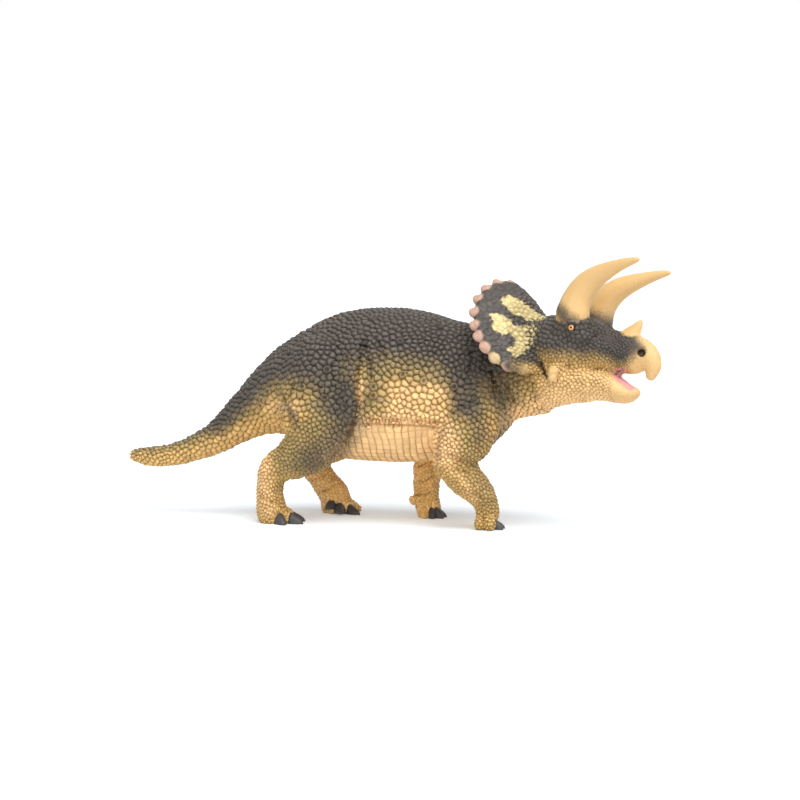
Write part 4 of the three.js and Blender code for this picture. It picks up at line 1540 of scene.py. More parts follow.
@dataclass
class Studio:
    """The pale floor, the soft lights and the camera."""

    floor_size: float = 8.0
    sensor: float = 36
    pixels: float = 800
    sun_from: Triple = (0.3, -0.26, 0.92)
    sun_strength: float = 2.35
    sun_spread: float = 42
    front_from: Triple = (0.15, -0.88, 0.45)
    front_strength: float = 0.85
    front_spread: float = 70
    fill: float = 0.34
    floor_colour: Colour = (0.8, 0.8, 0.8, 1)
    backdrop_colour: Colour = (0.85, 0.93, 1, 1)
    backdrop_glow: float = 0.3
    floor_roughness: float = 0.9

    def build(self) -> None:
        """Sets the camera, the lights, the floor and the world."""
        turn = Matrix(VIEW.axes().T)
        camera = bpy.data.objects.new("camera", bpy.data.cameras.new("camera"))
        camera.data.sensor_width = self.sensor
        camera.data.lens = VIEW.focus / self.pixels * self.sensor
        place = np.array(VIEW.target) * MM + np.array(turn.col[2]) * VIEW.distance * MM
        camera.matrix_world = Matrix.Translation(place) @ turn.to_4x4()
        bpy.context.scene.collection.objects.link(camera)
        bpy.context.scene.camera = camera
        self.sun("sun", self.sun_from, self.sun_strength, self.sun_spread)
        self.sun("front", self.front_from, self.front_strength, self.front_spread)
        self.floor()
        self.world()
        bpy.context.scene.view_settings.view_transform = "Standard"

    @staticmethod
    def sun(name: str, comes_from: Triple, strength: float, spread: float) -> None:
        """Adds a far light.

        Args:
            name: Its name.
            comes_from: The way to it.
            strength: How bright it is.
            spread: How wide it is in degrees.
        """
        data = bpy.data.lights.new(name, "SUN")
        data.energy = strength
        data.angle = math.radians(spread)
        light = bpy.data.objects.new(name, data)
        light.rotation_euler = Vector(comes_from).to_track_quat("Z", "Y").to_euler()
        bpy.context.scene.collection.objects.link(light)

    def floor(self) -> None:
        """Lays the pale floor, which looks white to the camera and keeps the figure's shadow."""
        mesh = bmesh.new()
        bmesh.ops.create_grid(mesh, x_segments=1, y_segments=1, size=self.floor_size / 2)
        data = bpy.data.meshes.new("floor")
        mesh.to_mesh(data)
        mesh.free()
        floor = bpy.data.objects.new("floor", data)
        material, shader = Shader.material("floor")
        seen = shader.seen()
        inputs = {
            "Base Color": shader.mix(seen, self.floor_colour, self.backdrop_colour),
            "Emission Color": WHITE,
            "Emission Strength": shader.math("MULTIPLY", seen, self.backdrop_glow),
            "Roughness": self.floor_roughness,
            "Specular IOR Level": 0.0,
        }
        shader.feed(material.node_tree.nodes["Principled BSDF"], inputs)
        data.materials.append(material)
        bpy.context.scene.collection.objects.link(floor)

    def world(self) -> None:
        """Fills the shadows with a plain light and shows white to the camera."""
        world = bpy.data.worlds.new("world")
        world.use_nodes = True
        bpy.context.scene.world = world
        shader = Shader(world.node_tree)
        more = shader.math("MULTIPLY", shader.seen(), 1 - self.fill)
        inputs = {"Color": WHITE, "Strength": shader.math("ADD", more, self.fill)}
        shader.feed(world.node_tree.nodes["Background"], inputs)


RIGHT_HIND = Leg(
    "right_hind_leg",
    (-38.4, -13.4),
    (Toe(-54, 5.0, 4.4, 4.3, 3.8), Toe(-15, 7.0, 4.7, 4.2, 3.8),
     Toe(22, 6.6, 4.6, 4.2, 3.7), Toe(60, 4.9, 4.3, 4.0, 3.6)),
    ((-1, -38.4), (6.5, -39.9), (15.6, -39.7), (22, -32.3), (31.5, -23.8), (45.8, -22.7)),
    side=-1,
    lumps=(((-39.4, -14.4, 20.6), (3.0, 3.6, 3.0)),),
    folds=(
        Fold(((-43, -17.5, 9.5), (-39.5, -18.3, 7.6), (-36.5, -17, 7)), DOWN, 0.3, 0.6, 3, 0.6),
        Fold(((-35, -19, 26), (-31, -19.6, 23.5), (-28.5, -19.5, 20.5)), (0.5, 0, 0.8), 0.3, 0.4, 5, 1.2),
    ),
    sprays=(
        olive(((336, 396), (325, 425), (306, 444), (290, 456)), 20, 0.6, 0.25),
        olive(((284, 462), (280, 488)), 8, 0.6, 0.1),
        peach(((264, 460), (262, 482), (266, 508)), 15, 0.7, 0.2),
    ),
)
LEFT_HIND = Leg(
    "left_hind_leg",
    (-22.6, 14.4),
    (Toe(-108, 4.6, 4.0, 4.3, 3.6, rise=1.9), Toe(-70, 5.6, 4.4, 4.5, 3.6, rise=0.5),
     Toe(-32, 6.6, 4.8, 4.2, 3.5), Toe(8, 6.2, 0, 3.6, 3.2, hoof=False)),
    ((-1, -22.6), (6, -23.8), (13.2, -29.3), (17.3, -32),
     (21, -30.6), (25.5, -24.8), (32, -20.8), (45.8, -22.7)),
    side=1,
    bulges=(
        Bulge(((-33.5, 14, 21),), 3.2, 0.7),
        Bulge(((-28, 10, 8), (-26, 10, 6)), 3, 0.5),
    ),
    folds=(
        Fold(((-35, 12, 15), (-30.5, 10, 16.5), (-26, 10.5, 20)), UP, 0.5, 1.0, 3, 0.7),
        Fold(((-32, 11, 11), (-28.5, 10, 12.5), (-24, 11, 16)), UP, 0.4, 0.9, 3, 0.6),
        Fold(((-29, 10.5, 7.5), (-25, 10, 8.5), (-21, 11, 11.5)), UP, 0.4, 0.9, 3, 0.6),
        Fold(((-25, 11, 24), (-22, 10.5, 20), (-21, 11, 17)), BACK, 0.4, 0.8, 3, 0.6),
    ),
)
RIGHT_FORE = Leg(
    "right_fore_leg",
    (36.1, -12.9),
    (Toe(-24, 3.2, 3.6, 3.6, 3.4), Toe(14, 3.0, 3.4, 3.4, 3.2), Toe(52, 2.8, 3.2, 3.2, 3.0),
     Toe(-72, 6.8, 0, 3.8, 5.0, hoof=False), Toe(-120, 6.2, 0, 3.6, 4.4, hoof=False)),
    ((-1, 36.1), (6.2, 35.9), (12.6, 33.5), (16.4, 29.7),
     (20.7, 26.4), (25, 25.2), (30.5, 28.2), (43, 31.2)),
    side=-1,
    folds=(
        Fold(((32, -19.6, 13.8), (35, -18.6, 11.4), (37.6, -16.6, 10)), UP, 0.5, 0.7, 3, 0.6),
        Fold(((33, -18.6, 10), (36, -17.2, 8.6), (38.6, -15.6, 7.8)), UP, 0.3, 0.6, 2.5, 0.6),
    ),
    sprays=(
        olive(((474, 412), (466, 425), (470, 445), (480, 470), (492, 498)), 22, 0.7, 0.2),
        umber(((474, 408), (482, 438)), 16, 0.5, 0.15),
        umber(((486, 458), (496, 486)), 9, 0.4, 0.1),
        peach(((442, 462), (462, 478), (476, 500)), 7, 0.6, 0.1),
    ),
)
LEFT_FORE = Leg(
    "left_fore_leg",
    (11.6, 9.6),
    (Toe(-69, 2.9, 3.2, 3.2, 4.1), Toe(-31, 3.4, 3.4, 3.2, 3.9), Toe(7, 3.2, 3.2, 3.2, 3.4),
     Toe(-135, 5.2, 0, 2.6, 5.6, hoof=False), Toe(49, 4.2, 0, 3.2, 3.2, hoof=False)),
    ((-1, 11.6), (5.5, 10), (9.5, 9.4), (19, 10.6), (24.5, 13.4), (30.5, 18.2), (43.5, 27.2)),
    side=1,
    lumps=(((6.6, 8.2, 6.3), (2.1, 2.0, 2.0)),),
    folds=(
        Fold(((6, 10, 18), (10, 9.4, 18.6), (15, 11, 20.5)), UP, 0.4, 0.9, 3, 0.6),
        Fold(((4.5, 9.5, 12.5), (9.5, 8.2, 12.5), (14, 10, 15)), UP, 0.4, 0.9, 3, 0.6),
        Fold(((5, 8.5, 8), (9.5, 7.4, 8.2), (14.5, 9, 10)), UP, 0.4, 0.9, 3, 0.6),
        Fold(((12, 10, 24), (11, 9, 20), (12.5, 9, 16)), BACK, 0.4, 0.8, 3, 0.6),
    ),
)


@dataclass(frozen=True)
class ScaleForm:
    """The form of a scale and of the wash round it.

    A scale's lower side is the one that faces down and back. It stands higher, and its groove holds more
    wash, which is painted shade under the scale; the upper side keeps the lightened top, a painted
    highlight.
    The lower side starts and is whole where the lean is at the two ends of low_side. The other pairs give a
    value on the upper side and what the lower side adds.
    """

    downward: Triple = (-0.5, 0, -0.87)
    low_side: Pair = (-0.7, 0.6)
    tilt: float = 0.4
    most_tilt: float = 1.3
    snap: float = 0.45
    groove_width: float = 0.21
    groove_depth: float = 0.25
    shoulder: float = 0.6
    shoulder_rise: float = 0.82
    crown: float = 1.15
    crown_least: float = -0.4
    crown_rise: float = 0.18
    level: float = 0.5
    ring_reach: float = 0.72
    ring_width: float = 0.22
    ring_rise: float = 0.95
    dimple_width: float = 0.36
    dimple_depth: float = 1.3
    heart_width: float = 0.4
    # The lower side's heavier and wider wash is painted shade.
    ink_reach: Pair = (0.06, 0.09)
    ink_amount: Pair = (0.2, 0.8)
    spill_reach: Pair = (0.065, 0.125)
    spill_amount: Pair = (0.12, 0.76)
    coarse_spill: float = 0.16
    neck_spill: float = 0.22
    # The width of each scale's pale upper rim, a painted highlight, in spacings.
    rim_reach: float = 0.13
    # How much the lightened top fades on the lower side, which keeps its painted highlight on the upper
    # side.
    low_fade: float = 0.45
    plate_top: float = 0.6

    def lean(self, bed: ScaleBed) -> Array:
        """Gives how far each point lies toward its scale's lower side, in half spacings."""
        return ((bed.places - bed.centres[bed.own]) @ np.array(self.downward)) / (0.5 * bed.spacing)

    def dome(self, bed: ScaleBed) -> Array:
        """Gives how high each point stands on its scale, from its groove to its crown."""
        half = 0.5 * bed.spacing
        share = np.clip(bed.edge / (self.shoulder * half), 0, 1)
        crown = np.clip(1 - (bed.reach / (self.crown * half)) ** 2, self.crown_least, 1)
        return self.shoulder_rise * np.sqrt(1 - (1 - share) ** 2) + self.crown_rise * crown

    def height(self, bed: ScaleBed, relief: Array, dome: Array, lean: Array) -> Array:
        """Gives each point's height in millimetres."""
        groove = self.groove_depth * bell(bed.edge, self.groove_width)
        tilted = self.tilt * np.clip(lean, -self.most_tilt, self.most_tilt) * dome
        return relief * (dome - groove - self.level + tilted)

    def ring(self, out: Array) -> Array:
        """Gives the form of a ringed scale at shares of its radius."""
        dimple = self.dimple_depth * bell(out, self.dimple_width)
        return bell(out - self.ring_reach, self.ring_width) - dimple

    def ink(self, bed: ScaleBed, low: Array) -> Array:
        """Gives the dark wash in the groove, with painted shade on the lower side, from how much each point
        is on the lower side.
        """
        reach = (self.ink_reach[0] + self.ink_reach[1] * low) * bed.spacing
        return (self.ink_amount[0] + self.ink_amount[1] * low) * bell(bed.edge, reach)

    def spill(self, bed: ScaleBed, low: Array, coarse: Array, neck: Array) -> Array:
        """Gives the wash that spills over the groove's edges onto pale paint, with painted shade on the
        lower side. It may pass 1.
        """
        reach = (self.spill_reach[0] + self.spill_reach[1] * low) * bed.spacing
        amount = self.spill_amount[0] + self.coarse_spill * coarse + self.neck_spill * neck
        return (amount + self.spill_amount[1] * low) * bell(bed.edge, reach)


@dataclass(frozen=True)
class Brushwork:
    """How strongly small things are painted, from 0 to 1, and how far the sprays wander, in pixels."""

    # How much umber and olive the scales' upper rims lose, for a painted highlight.
    rim_umber: float = 0.75
    rim_olive: float = 0.35
    tan_cover: float = 0.8
    cheek_peach: float = 0.45
    stud_lemon: float = 0.75
    eye_soot: float = 0.7
    frill_soot: float = 0.4
    skull_soot: float = 0.16
    heart_soot: float = 0.8
    # How dark the hollows go: wash and painted shade.
    hollow_wash: float = 0.8
    frill_clean: float = 0.5
    face_clean: float = 0.1
    lee_clean: float = 0.5
    lemon_clean: float = 0.6
    wander: float = 1.6


@dataclass
class Figure:
    """The whole figure: it casts the hide, cuts the scales, paints them and adds hooves and eyes."""

    names: tuple[str, ...] = (
        "torso", "tail", "right_hind_leg", "left_hind_leg", "right_fore_leg", "left_fore_leg", *FACE, *HORNS,
    )
    swell: float = 0.25
    rough_grid: float = 0.6
    fine_grid: float = 0.34
    torso_split: float = 4
    plate_tones: int = 4096
    trunk: Trunk = field(default_factory=Trunk)
    head: Head = field(default_factory=Head)
    legs: tuple[Leg, ...] = (RIGHT_HIND, LEFT_HIND, RIGHT_FORE, LEFT_FORE)
    form: ScaleForm = ScaleForm()
    brush: Brushwork = Brushwork()

    def column(self, *names: str) -> Array:
        """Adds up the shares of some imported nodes."""
        return sum(self.shares[:, self.names.index(name)] for name in names)

    def cast(self) -> None:
        """Casts the solids, blends their joins, and casts again on a fine grid with the small flesh."""
        caster = Caster(list(self.names), self.swell)
        rough = caster.cast(caster.solids, self.rough_grid)
        self.shares = caster.shares(rough, 2)
        seam = rough.spread((self.shares.max(axis=1) < 0.98).astype(float), 5)
        joins = np.clip(seam * 2.5, 0, 1)
        fine_parts = self.column("skull", *HORNS, "lower_jaw")
        low = 1 - smooth_step(16, 26, rough.points[:, 2])
        rough.relax(8, (1 - 0.75 * fine_parts) * (1 - 0.5 * low))
        rough.relax(10, joins * (1 - 0.6 * fine_parts))
        cheeks = joins * (1 - smooth_step(24, 28, HeadPlace.local(rough.points)[:, 0]))
        rough.relax(24, cheeks * fine_parts)
        LOG.info("rough casting: %d points", len(rough.points))
        solids = [(rough.points, rough.faces.tolist())] + self.head.flesh()
        for leg in self.legs:
            solids += leg.flesh()
        self.skin = caster.cast(solids, self.fine_grid)
        self.skin.polish(5)
        self.shares = caster.shares(self.skin, 5)
        LOG.info("fine casting: %d points", len(self.skin.points))

    def sculpt(self) -> None:
        """Folds the hide, swells the muscles and models the face, and finds the hollows."""
        skin = self.skin
        points = skin.points
        face = self.column(*FACE)
        body = 1 - np.clip(face + self.column(*HORNS), 0, 1)
        wavy = points + 0.4 * noise_columns(points, 3.5, (41, 42, 43))
        local = HeadPlace.right_half(HeadPlace.local(points))
        shapes = [*self.trunk.folds, *self.trunk.bulges]
        for leg in self.legs:
            shapes += [*leg.folds, *leg.bulges]
        jobs = [(shape, wavy, body) for shape in shapes]
        jobs += [(shape, local, face) for shape in (*self.head.folds, *self.head.bulges)]
        push = np.zeros(len(points))
        self.crease = np.zeros(len(points))
        for shape, places, where in jobs:
            push += shape.push(places) * where
            if isinstance(shape, Fold):
                # The crease is darkened by wash and painted shade.
                self.crease = np.maximum(self.crease, shape.ink(places) * where)
        push += self.head.eye.push(local)
        push += self.head.nostril.push(local)
        skin.points = points + push[:, None] * skin.normals()
        skin.relax(1)
        smooth = skin.spread(skin.points, 24)
        self.hollow = ((smooth - skin.points) * skin.normals()).sum(axis=1)

    def find_trim(self) -> None:
        """Finds the smooth horns and beak, the frill with its studs, and the cheek horns."""
        local = HeadPlace.local(self.skin.points)
        face = self.column(*FACE)
        horns = self.column(*HORNS)
        self.horn = self.skin.spread(horns, 16)
        root = np.clip(1.6 * self.skin.spread(horns, 8) - 0.3, 0, 1)
        self.bone = np.clip(self.head.bone_share(local) * face + root, 0, 1)
        self.frill = self.head.frill_share(local) * (face > 0.5)
        self.stud = self.head.stud_share(local) * (self.column("skull") > 0.5)
        self.cheek = self.head.cheek_share(local) * (face > 0.5)

    def scale_sizes(self) -> tuple[Array, Array]:
        """Finds how large and how high the scales are.

        Returns:
            Their spacing and their height at each point, in millimetres.
        """
        skin = self.skin
        face = self.column(*FACE)
        tail = self.column("tail")
        spacing = self.trunk.spacing(skin.points, tail)
        relief = np.full(len(skin.points), self.trunk.relief)
        relief += (self.trunk.tip_relief - relief) * tail * (1 - smooth_step(-90, -60, skin.points[:, 0]))
        for leg in self.legs:
            share = self.column(leg.node)
            spacing += (leg.spacing(skin.points) - spacing) * share
            relief += (leg.height(skin.points) - relief) * share
        spacing += (self.head.spacing(HeadPlace.local(skin.points), self.frill) - spacing) * face
        relief += (self.head.relief - relief) * face
        relief *= (1 - self.bone) * (1 - 0.6 * self.frill) * (1 - self.stud) * (1 - self.cheek)
        spacing = skin.spread(spacing, 10) * (1 + 0.22 * soft_noise(skin.points, 3, 9))
        return spacing, skin.spread(relief, 3)

    def lay_scales(self, spacing: Array, relief: Array, plates: Plates) -> ScaleBed:
        """Scatters the scales, and moves points onto the borders of scales and plates.

        Args:
            spacing: The scales' spacing at each point.
            relief: The scales' height at each point.
            plates: The belly's plates.

        Returns:
            The scales.
        """
        rosettes = self.nearest(self.trunk.rosette_places())
        spacing[rosettes] = self.trunk.rosette_scale
        bed = ScaleBed(self.skin, spacing, rosettes, 0.2 + 1.0 * self.frill)
        bed.scatter()
        LOG.info("%d scales", len(bed.centres))
        plated = plates.zone > 0.5
        snap = self.form.snap * self.fine_grid
        bed.snap(snap, (relief > 0.05) & ~plated)
        near = plated & (np.abs(plates.to_column) < snap)
        self.skin.points[near, 0] += plates.to_column[near]
        return bed

    def scale(self) -> None:
        """Cuts the scales into the hide and keeps what the paint needs."""
        skin = self.skin
        form = self.form
        self.find_trim()
        spacing, relief = self.scale_sizes()
        plates = self.trunk.plates(skin.points, self.column("torso"))
        bed = self.lay_scales(spacing, relief, plates)
        points = skin.points
        scaled = 1 - plates.zone
        lean = form.lean(bed)
        low = smooth_step(*form.low_side, lean)
        dome = form.dome(bed)
        height = form.height(bed, relief, dome, lean)
        ringed = bed.own < len(bed.fixed)
        out = bed.reach / (0.5 * self.trunk.rosette_scale)
        height += np.where(ringed, form.ring_rise * relief * form.ring(out), 0)
        self.heart = np.where(ringed, bell(out, form.heart_width), 0)
        flat = -self.trunk.plate_relief * plates.groove
        height = height * scaled + flat * plates.zone
        face = self.column(*FACE)
        coarse = np.clip(1 - self.column("torso") - face + smooth_step(26, 34, points[:, 0]), 0, 1)
        coarse = np.clip(coarse + smooth_step(-22, -34, points[:, 0]), 0, 1)
        neck = smooth_step(30, 38, points[:, 0]) * (1 - face)
        fade = np.clip(smooth_step(0.02, 0.12, relief), 0, 1)
        # The groove's wash is heavier on each scale's lower side, as painted shade; the lightened top and
        # the pale rim lie on the upper side, as a painted highlight.
        self.groove = (form.ink(bed, low) * scaled + plates.groove * plates.zone) * fade
        wide = np.minimum(form.spill(bed, low, coarse, neck) * scaled, 1)
        self.wide = np.maximum(wide * fade, self.groove)
        self.top = (dome * (1.0 - form.low_fade * low) * scaled + form.plate_top * plates.zone) * fade
        self.rim = bell(bed.edge, form.rim_reach * spacing) * (1 - low) * scaled * fade
        rng = np.random.default_rng(3)
        tone = rng.random(len(bed.centres))[bed.own]
        plate_tone = rng.random(self.plate_tones)[plates.number % self.plate_tones]
        self.tone = skin.spread(tone * scaled + plate_tone * plates.zone, 1)
        height += 0.1 * soft_noise(points, 5, 2) * (1 - self.bone)
        height += 0.26 * soft_noise(points, 1.7, 13) * coarse * (1 - self.bone)
        height += 0.25 * soft_noise(points, 2.4, 12) * self.frill * (1 - self.stud)
        skin.points = points + height[:, None] * skin.normals()
        for leg in self.legs:
            skin.points = leg.tuck(skin.points)
        skin.points[:, 2] = np.maximum(skin.points[:, 2], 0)

    def nearest(self, places: Array) -> Array:
        """Finds the surface's point nearest to each place."""
        tree = plant_tree(self.skin.points)
        return np.unique([tree.find(place)[1] for place in places])

    def seen(self) -> Array:
        """Finds where each point, or its mirror image on the near side, is seen.

        Returns:
            Places on the photograph.
        """
        near = self.skin.points.copy()
        for right, left in ((RIGHT_HIND, LEFT_HIND), (RIGHT_FORE, LEFT_FORE)):
            from_line = np.interp(near[:, 2], *np.array(left.line).T)
            to_line = np.interp(near[:, 2], *np.array(right.line).T)
            near[:, 0] += (to_line - from_line) * self.column(left.node)
        middle = self.trunk.middle(near)
        near[:, 1] = middle - np.abs(near[:, 1] - middle)
        head = HeadPlace.world(HeadPlace.right_half(self.local))
        share = np.clip(self.face, 0, 1)[:, None]
        return VIEW.project(near) * (1 - share) + VIEW.project(head) * share

    def paint(self) -> dict[str, Array]:
        """Sprays and brushes the coats.

        Returns:
            Each coat's and mark's value at each point.
        """
        points = self.skin.points
        self.local = HeadPlace.local(points)
        self.outward = self.skin.normals()
        self.normal = self.outward @ HeadPlace.turn()
        self.skull = self.column("skull")
        self.face = self.skull + self.column("lower_jaw", *HORNS)
        self.view = self.seen() + self.brush.wander * noise_columns(points, 3, (31, 32))
        self.coats = {coat: np.zeros(len(points)) for coat in Coat}
        self.spray()
        self.paint_legs()
        self.paint_frill()
        self.paint_dark()
        self.paint_mouth()
        return {coat.value: value for coat, value in self.coats.items()} | self.marks()

    def raise_coat(self, coat: Coat, value: Array) -> None:
        """Lays a coat on wherever it is thinner than the value."""
        self.coats[coat] = np.maximum(self.coats[coat], value)

    def spray(self) -> None:
        """Sprays the coats, and wipes the horns before they get their own."""
        coats = self.coats
        coats[Coat.BONE] = self.bone
        points = self.skin.points
        body_side = points[:, 1] > self.trunk.middle(points)
        leftward = np.where(self.face > 0.5, self.local[:, 1] > 0, body_side)
        sprays = [*self.trunk.sprays, *self.head.sprays]
        for leg in self.legs:
            sprays += leg.sprays
        for number, spray in enumerate([*sprays, *self.head.horn_sprays]):
            if number == len(sprays):
                coats[Coat.UMBER] *= 1 - smooth_step(0.1, 0.95, self.horn)
            cover = np.clip(abs(spray.amount) * spray.fall(self.view), 0, 1)
            if spray.side:
                cover *= leftward == (spray.side > 0)
            if spray.amount > 0:
                coats[spray.coat] = 1 - (1 - coats[spray.coat]) * (1 - cover)
            else:
                coats[spray.coat] = coats[spray.coat] * (1 - cover)
        # Each scale's upper rim loses some dark paint: a painted highlight.
        rim = self.rim * (1 - self.frill)
        coats[Coat.UMBER] *= 1 - self.brush.rim_umber * rim * (1 - coats[Coat.UMBER] ** 3)
        coats[Coat.OLIVE] *= 1 - self.brush.rim_olive * rim

    def paint_legs(self) -> None:
        """Leaves the legs' inner sides tan."""
        self.lee = np.zeros(len(self.skin.points))
        for leg in self.legs:
            inner = self.column(leg.node) * smooth_step(-0.2, 0.45, -leg.side * self.outward[:, 1])
            inner *= 1 - smooth_step(30, 40, self.skin.points[:, 2])
            self.lee = np.maximum(self.lee, inner)
        self.raise_coat(Coat.TAN, self.lee)
        for coat in (Coat.OLIVE, Coat.UMBER):
            self.coats[coat] *= 1 - self.brush.tan_cover * self.coats[Coat.TAN]

    def paint_frill(self) -> None:
        """Paints the frill with its marks and studs, and the cheek horns."""
        head = self.head
        x, y, z = self.local.T
        on_skull = self.skull > 0.5
        root = (1 - smooth_step(7, 12, x)) * smooth_step(-5, -1.5, z) * on_skull
        self.raise_coat(Coat.UMBER, np.maximum(self.frill, root))
        self.raise_coat(Coat.PEACH, self.brush.cheek_peach * self.cheek)
        self.coats[Coat.UMBER] *= 1 - self.cheek
        front = smooth_step(-0.35, 0.0, self.normal[:, 0]) * on_skull * (1 - smooth_step(5, 7.5, x))
        points = self.skin.points
        rough = 0.7 * soft_noise(points, 0.9, 6) + 0.4 * soft_noise(points, 2.2, 7)
        flat = np.stack([np.abs(y), z], axis=1)
        for mark in (head.upper_mark, head.lower_mark):
            inside = smooth_step(-0.3, 0.3, inside_outline(flat, np.array(mark)) + 0.25 + rough)
            self.raise_coat(Coat.LEMON, inside * front)
        plain = head.end_stud_spray.fall(self.view)
        self.coats[Coat.BLUSH] = self.stud * (1 - plain)
        pale = self.stud * head.low_stud_spray.fall(self.view) * (1 - plain)
        self.raise_coat(Coat.LEMON, self.brush.stud_lemon * pale)

    def paint_dark(self) -> None:
        """Darkens the eyes' surrounds, the nostrils, the cheek slits, the frill and the ringed scales."""
        head = self.head
        brush = self.brush
        right = HeadPlace.right_half(self.local)
        bare = 1 - self.stud
        eye = (1 - smooth_step(1.2, 3.0, head.eye.away(right))) * brush.eye_soot
        nostril = 1 - smooth_step(1.1, 1.6, head.nostril.away(right))
        slit = head.slit_spray.fall(self.view) * (self.face > 0.5) * (self.normal[:, 0] < 0.9)
        frill = brush.frill_soot * self.frill * (1 - self.coats[Coat.LEMON]) * bare
        skull = brush.skull_soot * self.skull * self.coats[Coat.UMBER] * (1 - self.frill) * bare
        heart = brush.heart_soot * self.heart
        self.coats[Coat.SOOT] = np.max([eye, nostril, slit, frill, skull, heart], axis=0)

    def paint_mouth(self) -> None:
        """Paints the mouth's lining, with painted shade at the back of the mouth."""
        x, y, z = self.local.T
        above = self.skull > 0.5
        mouth = smooth_step(28, 30.5, x) * (1 - smooth_step(40, 42.5, x))
        facing = np.where(above, -self.normal[:, 2], self.normal[:, 2])
        inner = smooth_step(0.3, 0.6, facing) * (1 - smooth_step(2.4, 3.6, np.abs(y)))
        inner *= np.where(above, 1 - smooth_step(33, 36, x), 1)
        level = smooth_step(-9.5, -8.5, z) * (1 - smooth_step(-1.5, 0.0, z))
        self.coats[Coat.GUM] = mouth * inner * level * (self.face > 0.5)
        for spray in self.head.mouth_sprays:
            self.raise_coat(spray.coat, spray.amount * spray.fall(self.view) * (self.face > 0.5))

    def marks(self) -> dict[str, Array]:
        """Gives what the wash with its painted shade and the dry brush with its painted highlight follow.

        Returns:
            Each mark's value at each point.
        """
        brush = self.brush
        groove = self.groove + (self.wide - self.groove) * (1 - self.coats[Coat.UMBER])
        groove = groove * (1 - brush.frill_clean * self.frill) * (1 - brush.face_clean * self.face)
        groove = groove * (1 - brush.lee_clean * self.lee)
        # The hollows are darkened: wash and painted shade.
        dip = brush.hollow_wash * smooth_step(0.04, 0.3, self.hollow)
        groove = np.maximum(np.maximum(groove, dip), self.crease)
        groove = groove * (1 - brush.lemon_clean * self.coats[Coat.LEMON]) * (1 - self.coats[Coat.GUM])
        tone = 0.5 + (self.tone - 0.5) * (1 - self.bone) * (1 - self.stud)
        return {Mark.GROOVE.value: groove, Mark.TOP.value: self.top, Mark.TONE.value: tone}

    def build(self) -> None:
        """Builds and dresses every piece."""
        self.cast()
        self.sculpt()
        self.scale()
        values = self.paint()
        effects = {"wash": Effects.wash(), "speckle": Effects.speckle(), "grain": Effects.grain()}
        looks = {key: Look(finish, finish.build(effects)) for key, finish in finish_list().items()}
        keys = {"torso": "hide", "tail": "hide", "skull": "face", "lower_jaw": "jaw"}
        normals = self.skin.normals()
        owner = self.shares[self.skin.faces].sum(axis=1).argmax(axis=1)
        ahead = self.skin.points[self.skin.faces[:, 0], 0] > self.torso_split
        for number, name in enumerate(self.names):
            look = looks[keys.get(name, "leg" if name.endswith("leg") else "horn")]
            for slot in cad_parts[name].material_slots:
                slot.material = look.material
            own = owner == number
            parts = {name + "_skin": own}
            if name == "torso":
                parts = {"torso_front_skin": own & ahead, "torso_rear_skin": own & ~ahead}
            for label, chosen in parts.items():
                part, directions, source = capped(self.skin, normals, chosen)
                painted = {mark: value[source] for mark, value in values.items()}
                dress(label, part, directions, painted, look, (name,))
        for leg in self.legs:
            for number, toe in enumerate(toe for toe in leg.toes if toe.hoof):
                hoof = leg.hoof(toe)
                dress(f"{leg.node}_hoof_{number + 1}", hoof, hoof.normals(), {}, looks["claw"])
        for side, word in ((-1, "right"), (1, "left")):
            self.build_eye(side, word, looks["eye"])

    def build_eye(self, side: int, word: str, look: Look) -> None:
        """Sets an eye: a dark pupil in an orange ring.

        Args:
            side: Minus one for the right eye and one for the left.
            word: The side's name.
            look: The eye's finish.
        """
        centre = np.array(self.head.eye.at) * (1, -side, 1)
        gaze = np.array([0.25, side, 0.05])
        gaze /= np.linalg.norm(gaze)
        radius = self.head.eye_diameter / 2
        local = HeadPlace.local(self.skin.points)
        near = np.linalg.norm(local - centre, axis=1) < 1.5
        surface = local[near] @ gaze
        centre = centre + gaze * (surface.mean() - centre @ gaze - self.head.eye_sink * radius)
        points, faces = ball(centre, np.eye(3) * radius, 24)
        faces = [face + face[:1] if len(face) == 3 else face for face in faces]
        turn = (points - centre) @ gaze / radius
        pupil = smooth_step(0.93, 0.96, turn)
        values = {
            Coat.SOOT.value: np.maximum(pupil, 1 - smooth_step(0.66, 0.72, turn)),
            Coat.LEMON.value: smooth_step(0.74, 0.86, turn),
        }
        skin = Skin(HeadPlace.world(points), np.array(faces))
        dress(word + "_eye", skin, skin.normals(), values, look)


def finish_list() -> dict[str, HideFinish | KeratinFinish]:
    """Names every finish of the figure."""
    coats = {
        Coat.TAN: (252, 208, 133),
        Coat.PEACH: (250, 207, 146),
        Coat.BONE: (240, 197, 133),
        Coat.OLIVE: (160, 139, 86),
        Coat.UMBER: (75, 67, 58),
        Coat.BLUSH: (200, 160, 138),
        Coat.LEMON: (216, 196, 138),
        Coat.GUM: (234, 164, 158),
        Coat.SOOT: (40, 34, 34),
    }
    ochre = (202, 166, 98)
    orange_ring = {Coat.LEMON: (250, 200, 120), Coat.SOOT: (16, 14, 14)}
    return {
        "hide": HideFinish("painted_hide", "hide", ochre, coats),
        "leg": HideFinish("painted_leg", "leg_skin", ochre, coats),
        "face": HideFinish("painted_face", "face_skin", ochre, coats),
        "jaw": HideFinish("painted_jaw", "jaw_skin", ochre, coats),
        "horn": HideFinish("painted_horn", "horn", ochre, coats, roughness=0.45, mottle=0.12),
        "claw": KeratinFinish("painted_claw", "claw", (74, 70, 70), roughness=0.5),
        "eye": KeratinFinish("glossy_eye", "eye", (222, 130, 30), orange_ring, roughness=0.12),
    }


def main() -> None:
    """Builds the figure and the studio, and logs the counts of points, faces and scales."""
    logging.basicConfig(level=logging.INFO, format="%(relativeCreated)d %(message)s")
    Studio().build()
    Figure().build()


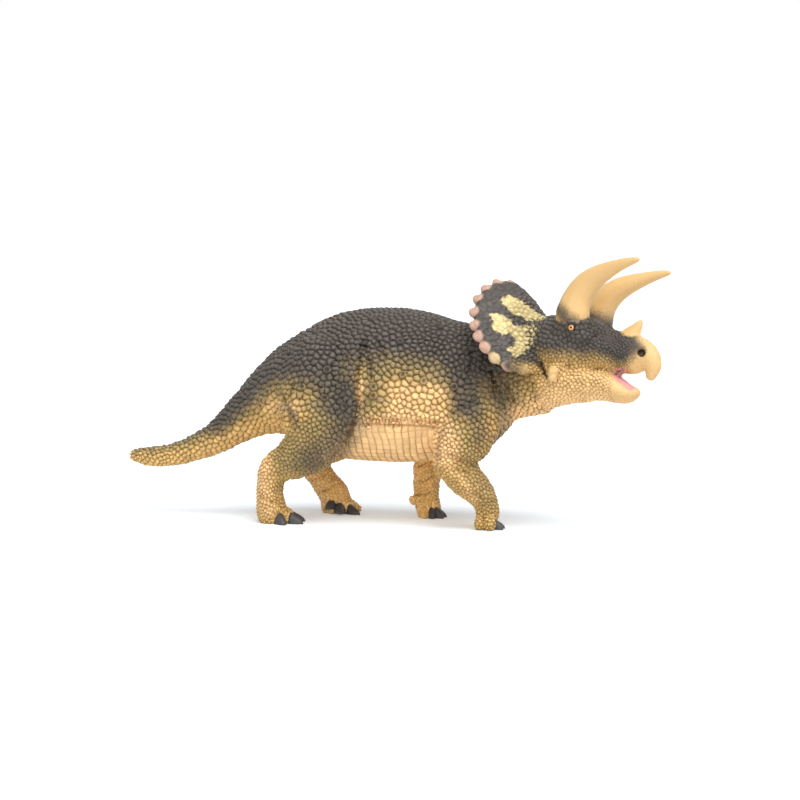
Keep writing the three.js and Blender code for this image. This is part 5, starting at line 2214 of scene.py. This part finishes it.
if __name__ == "__main__":
    main()
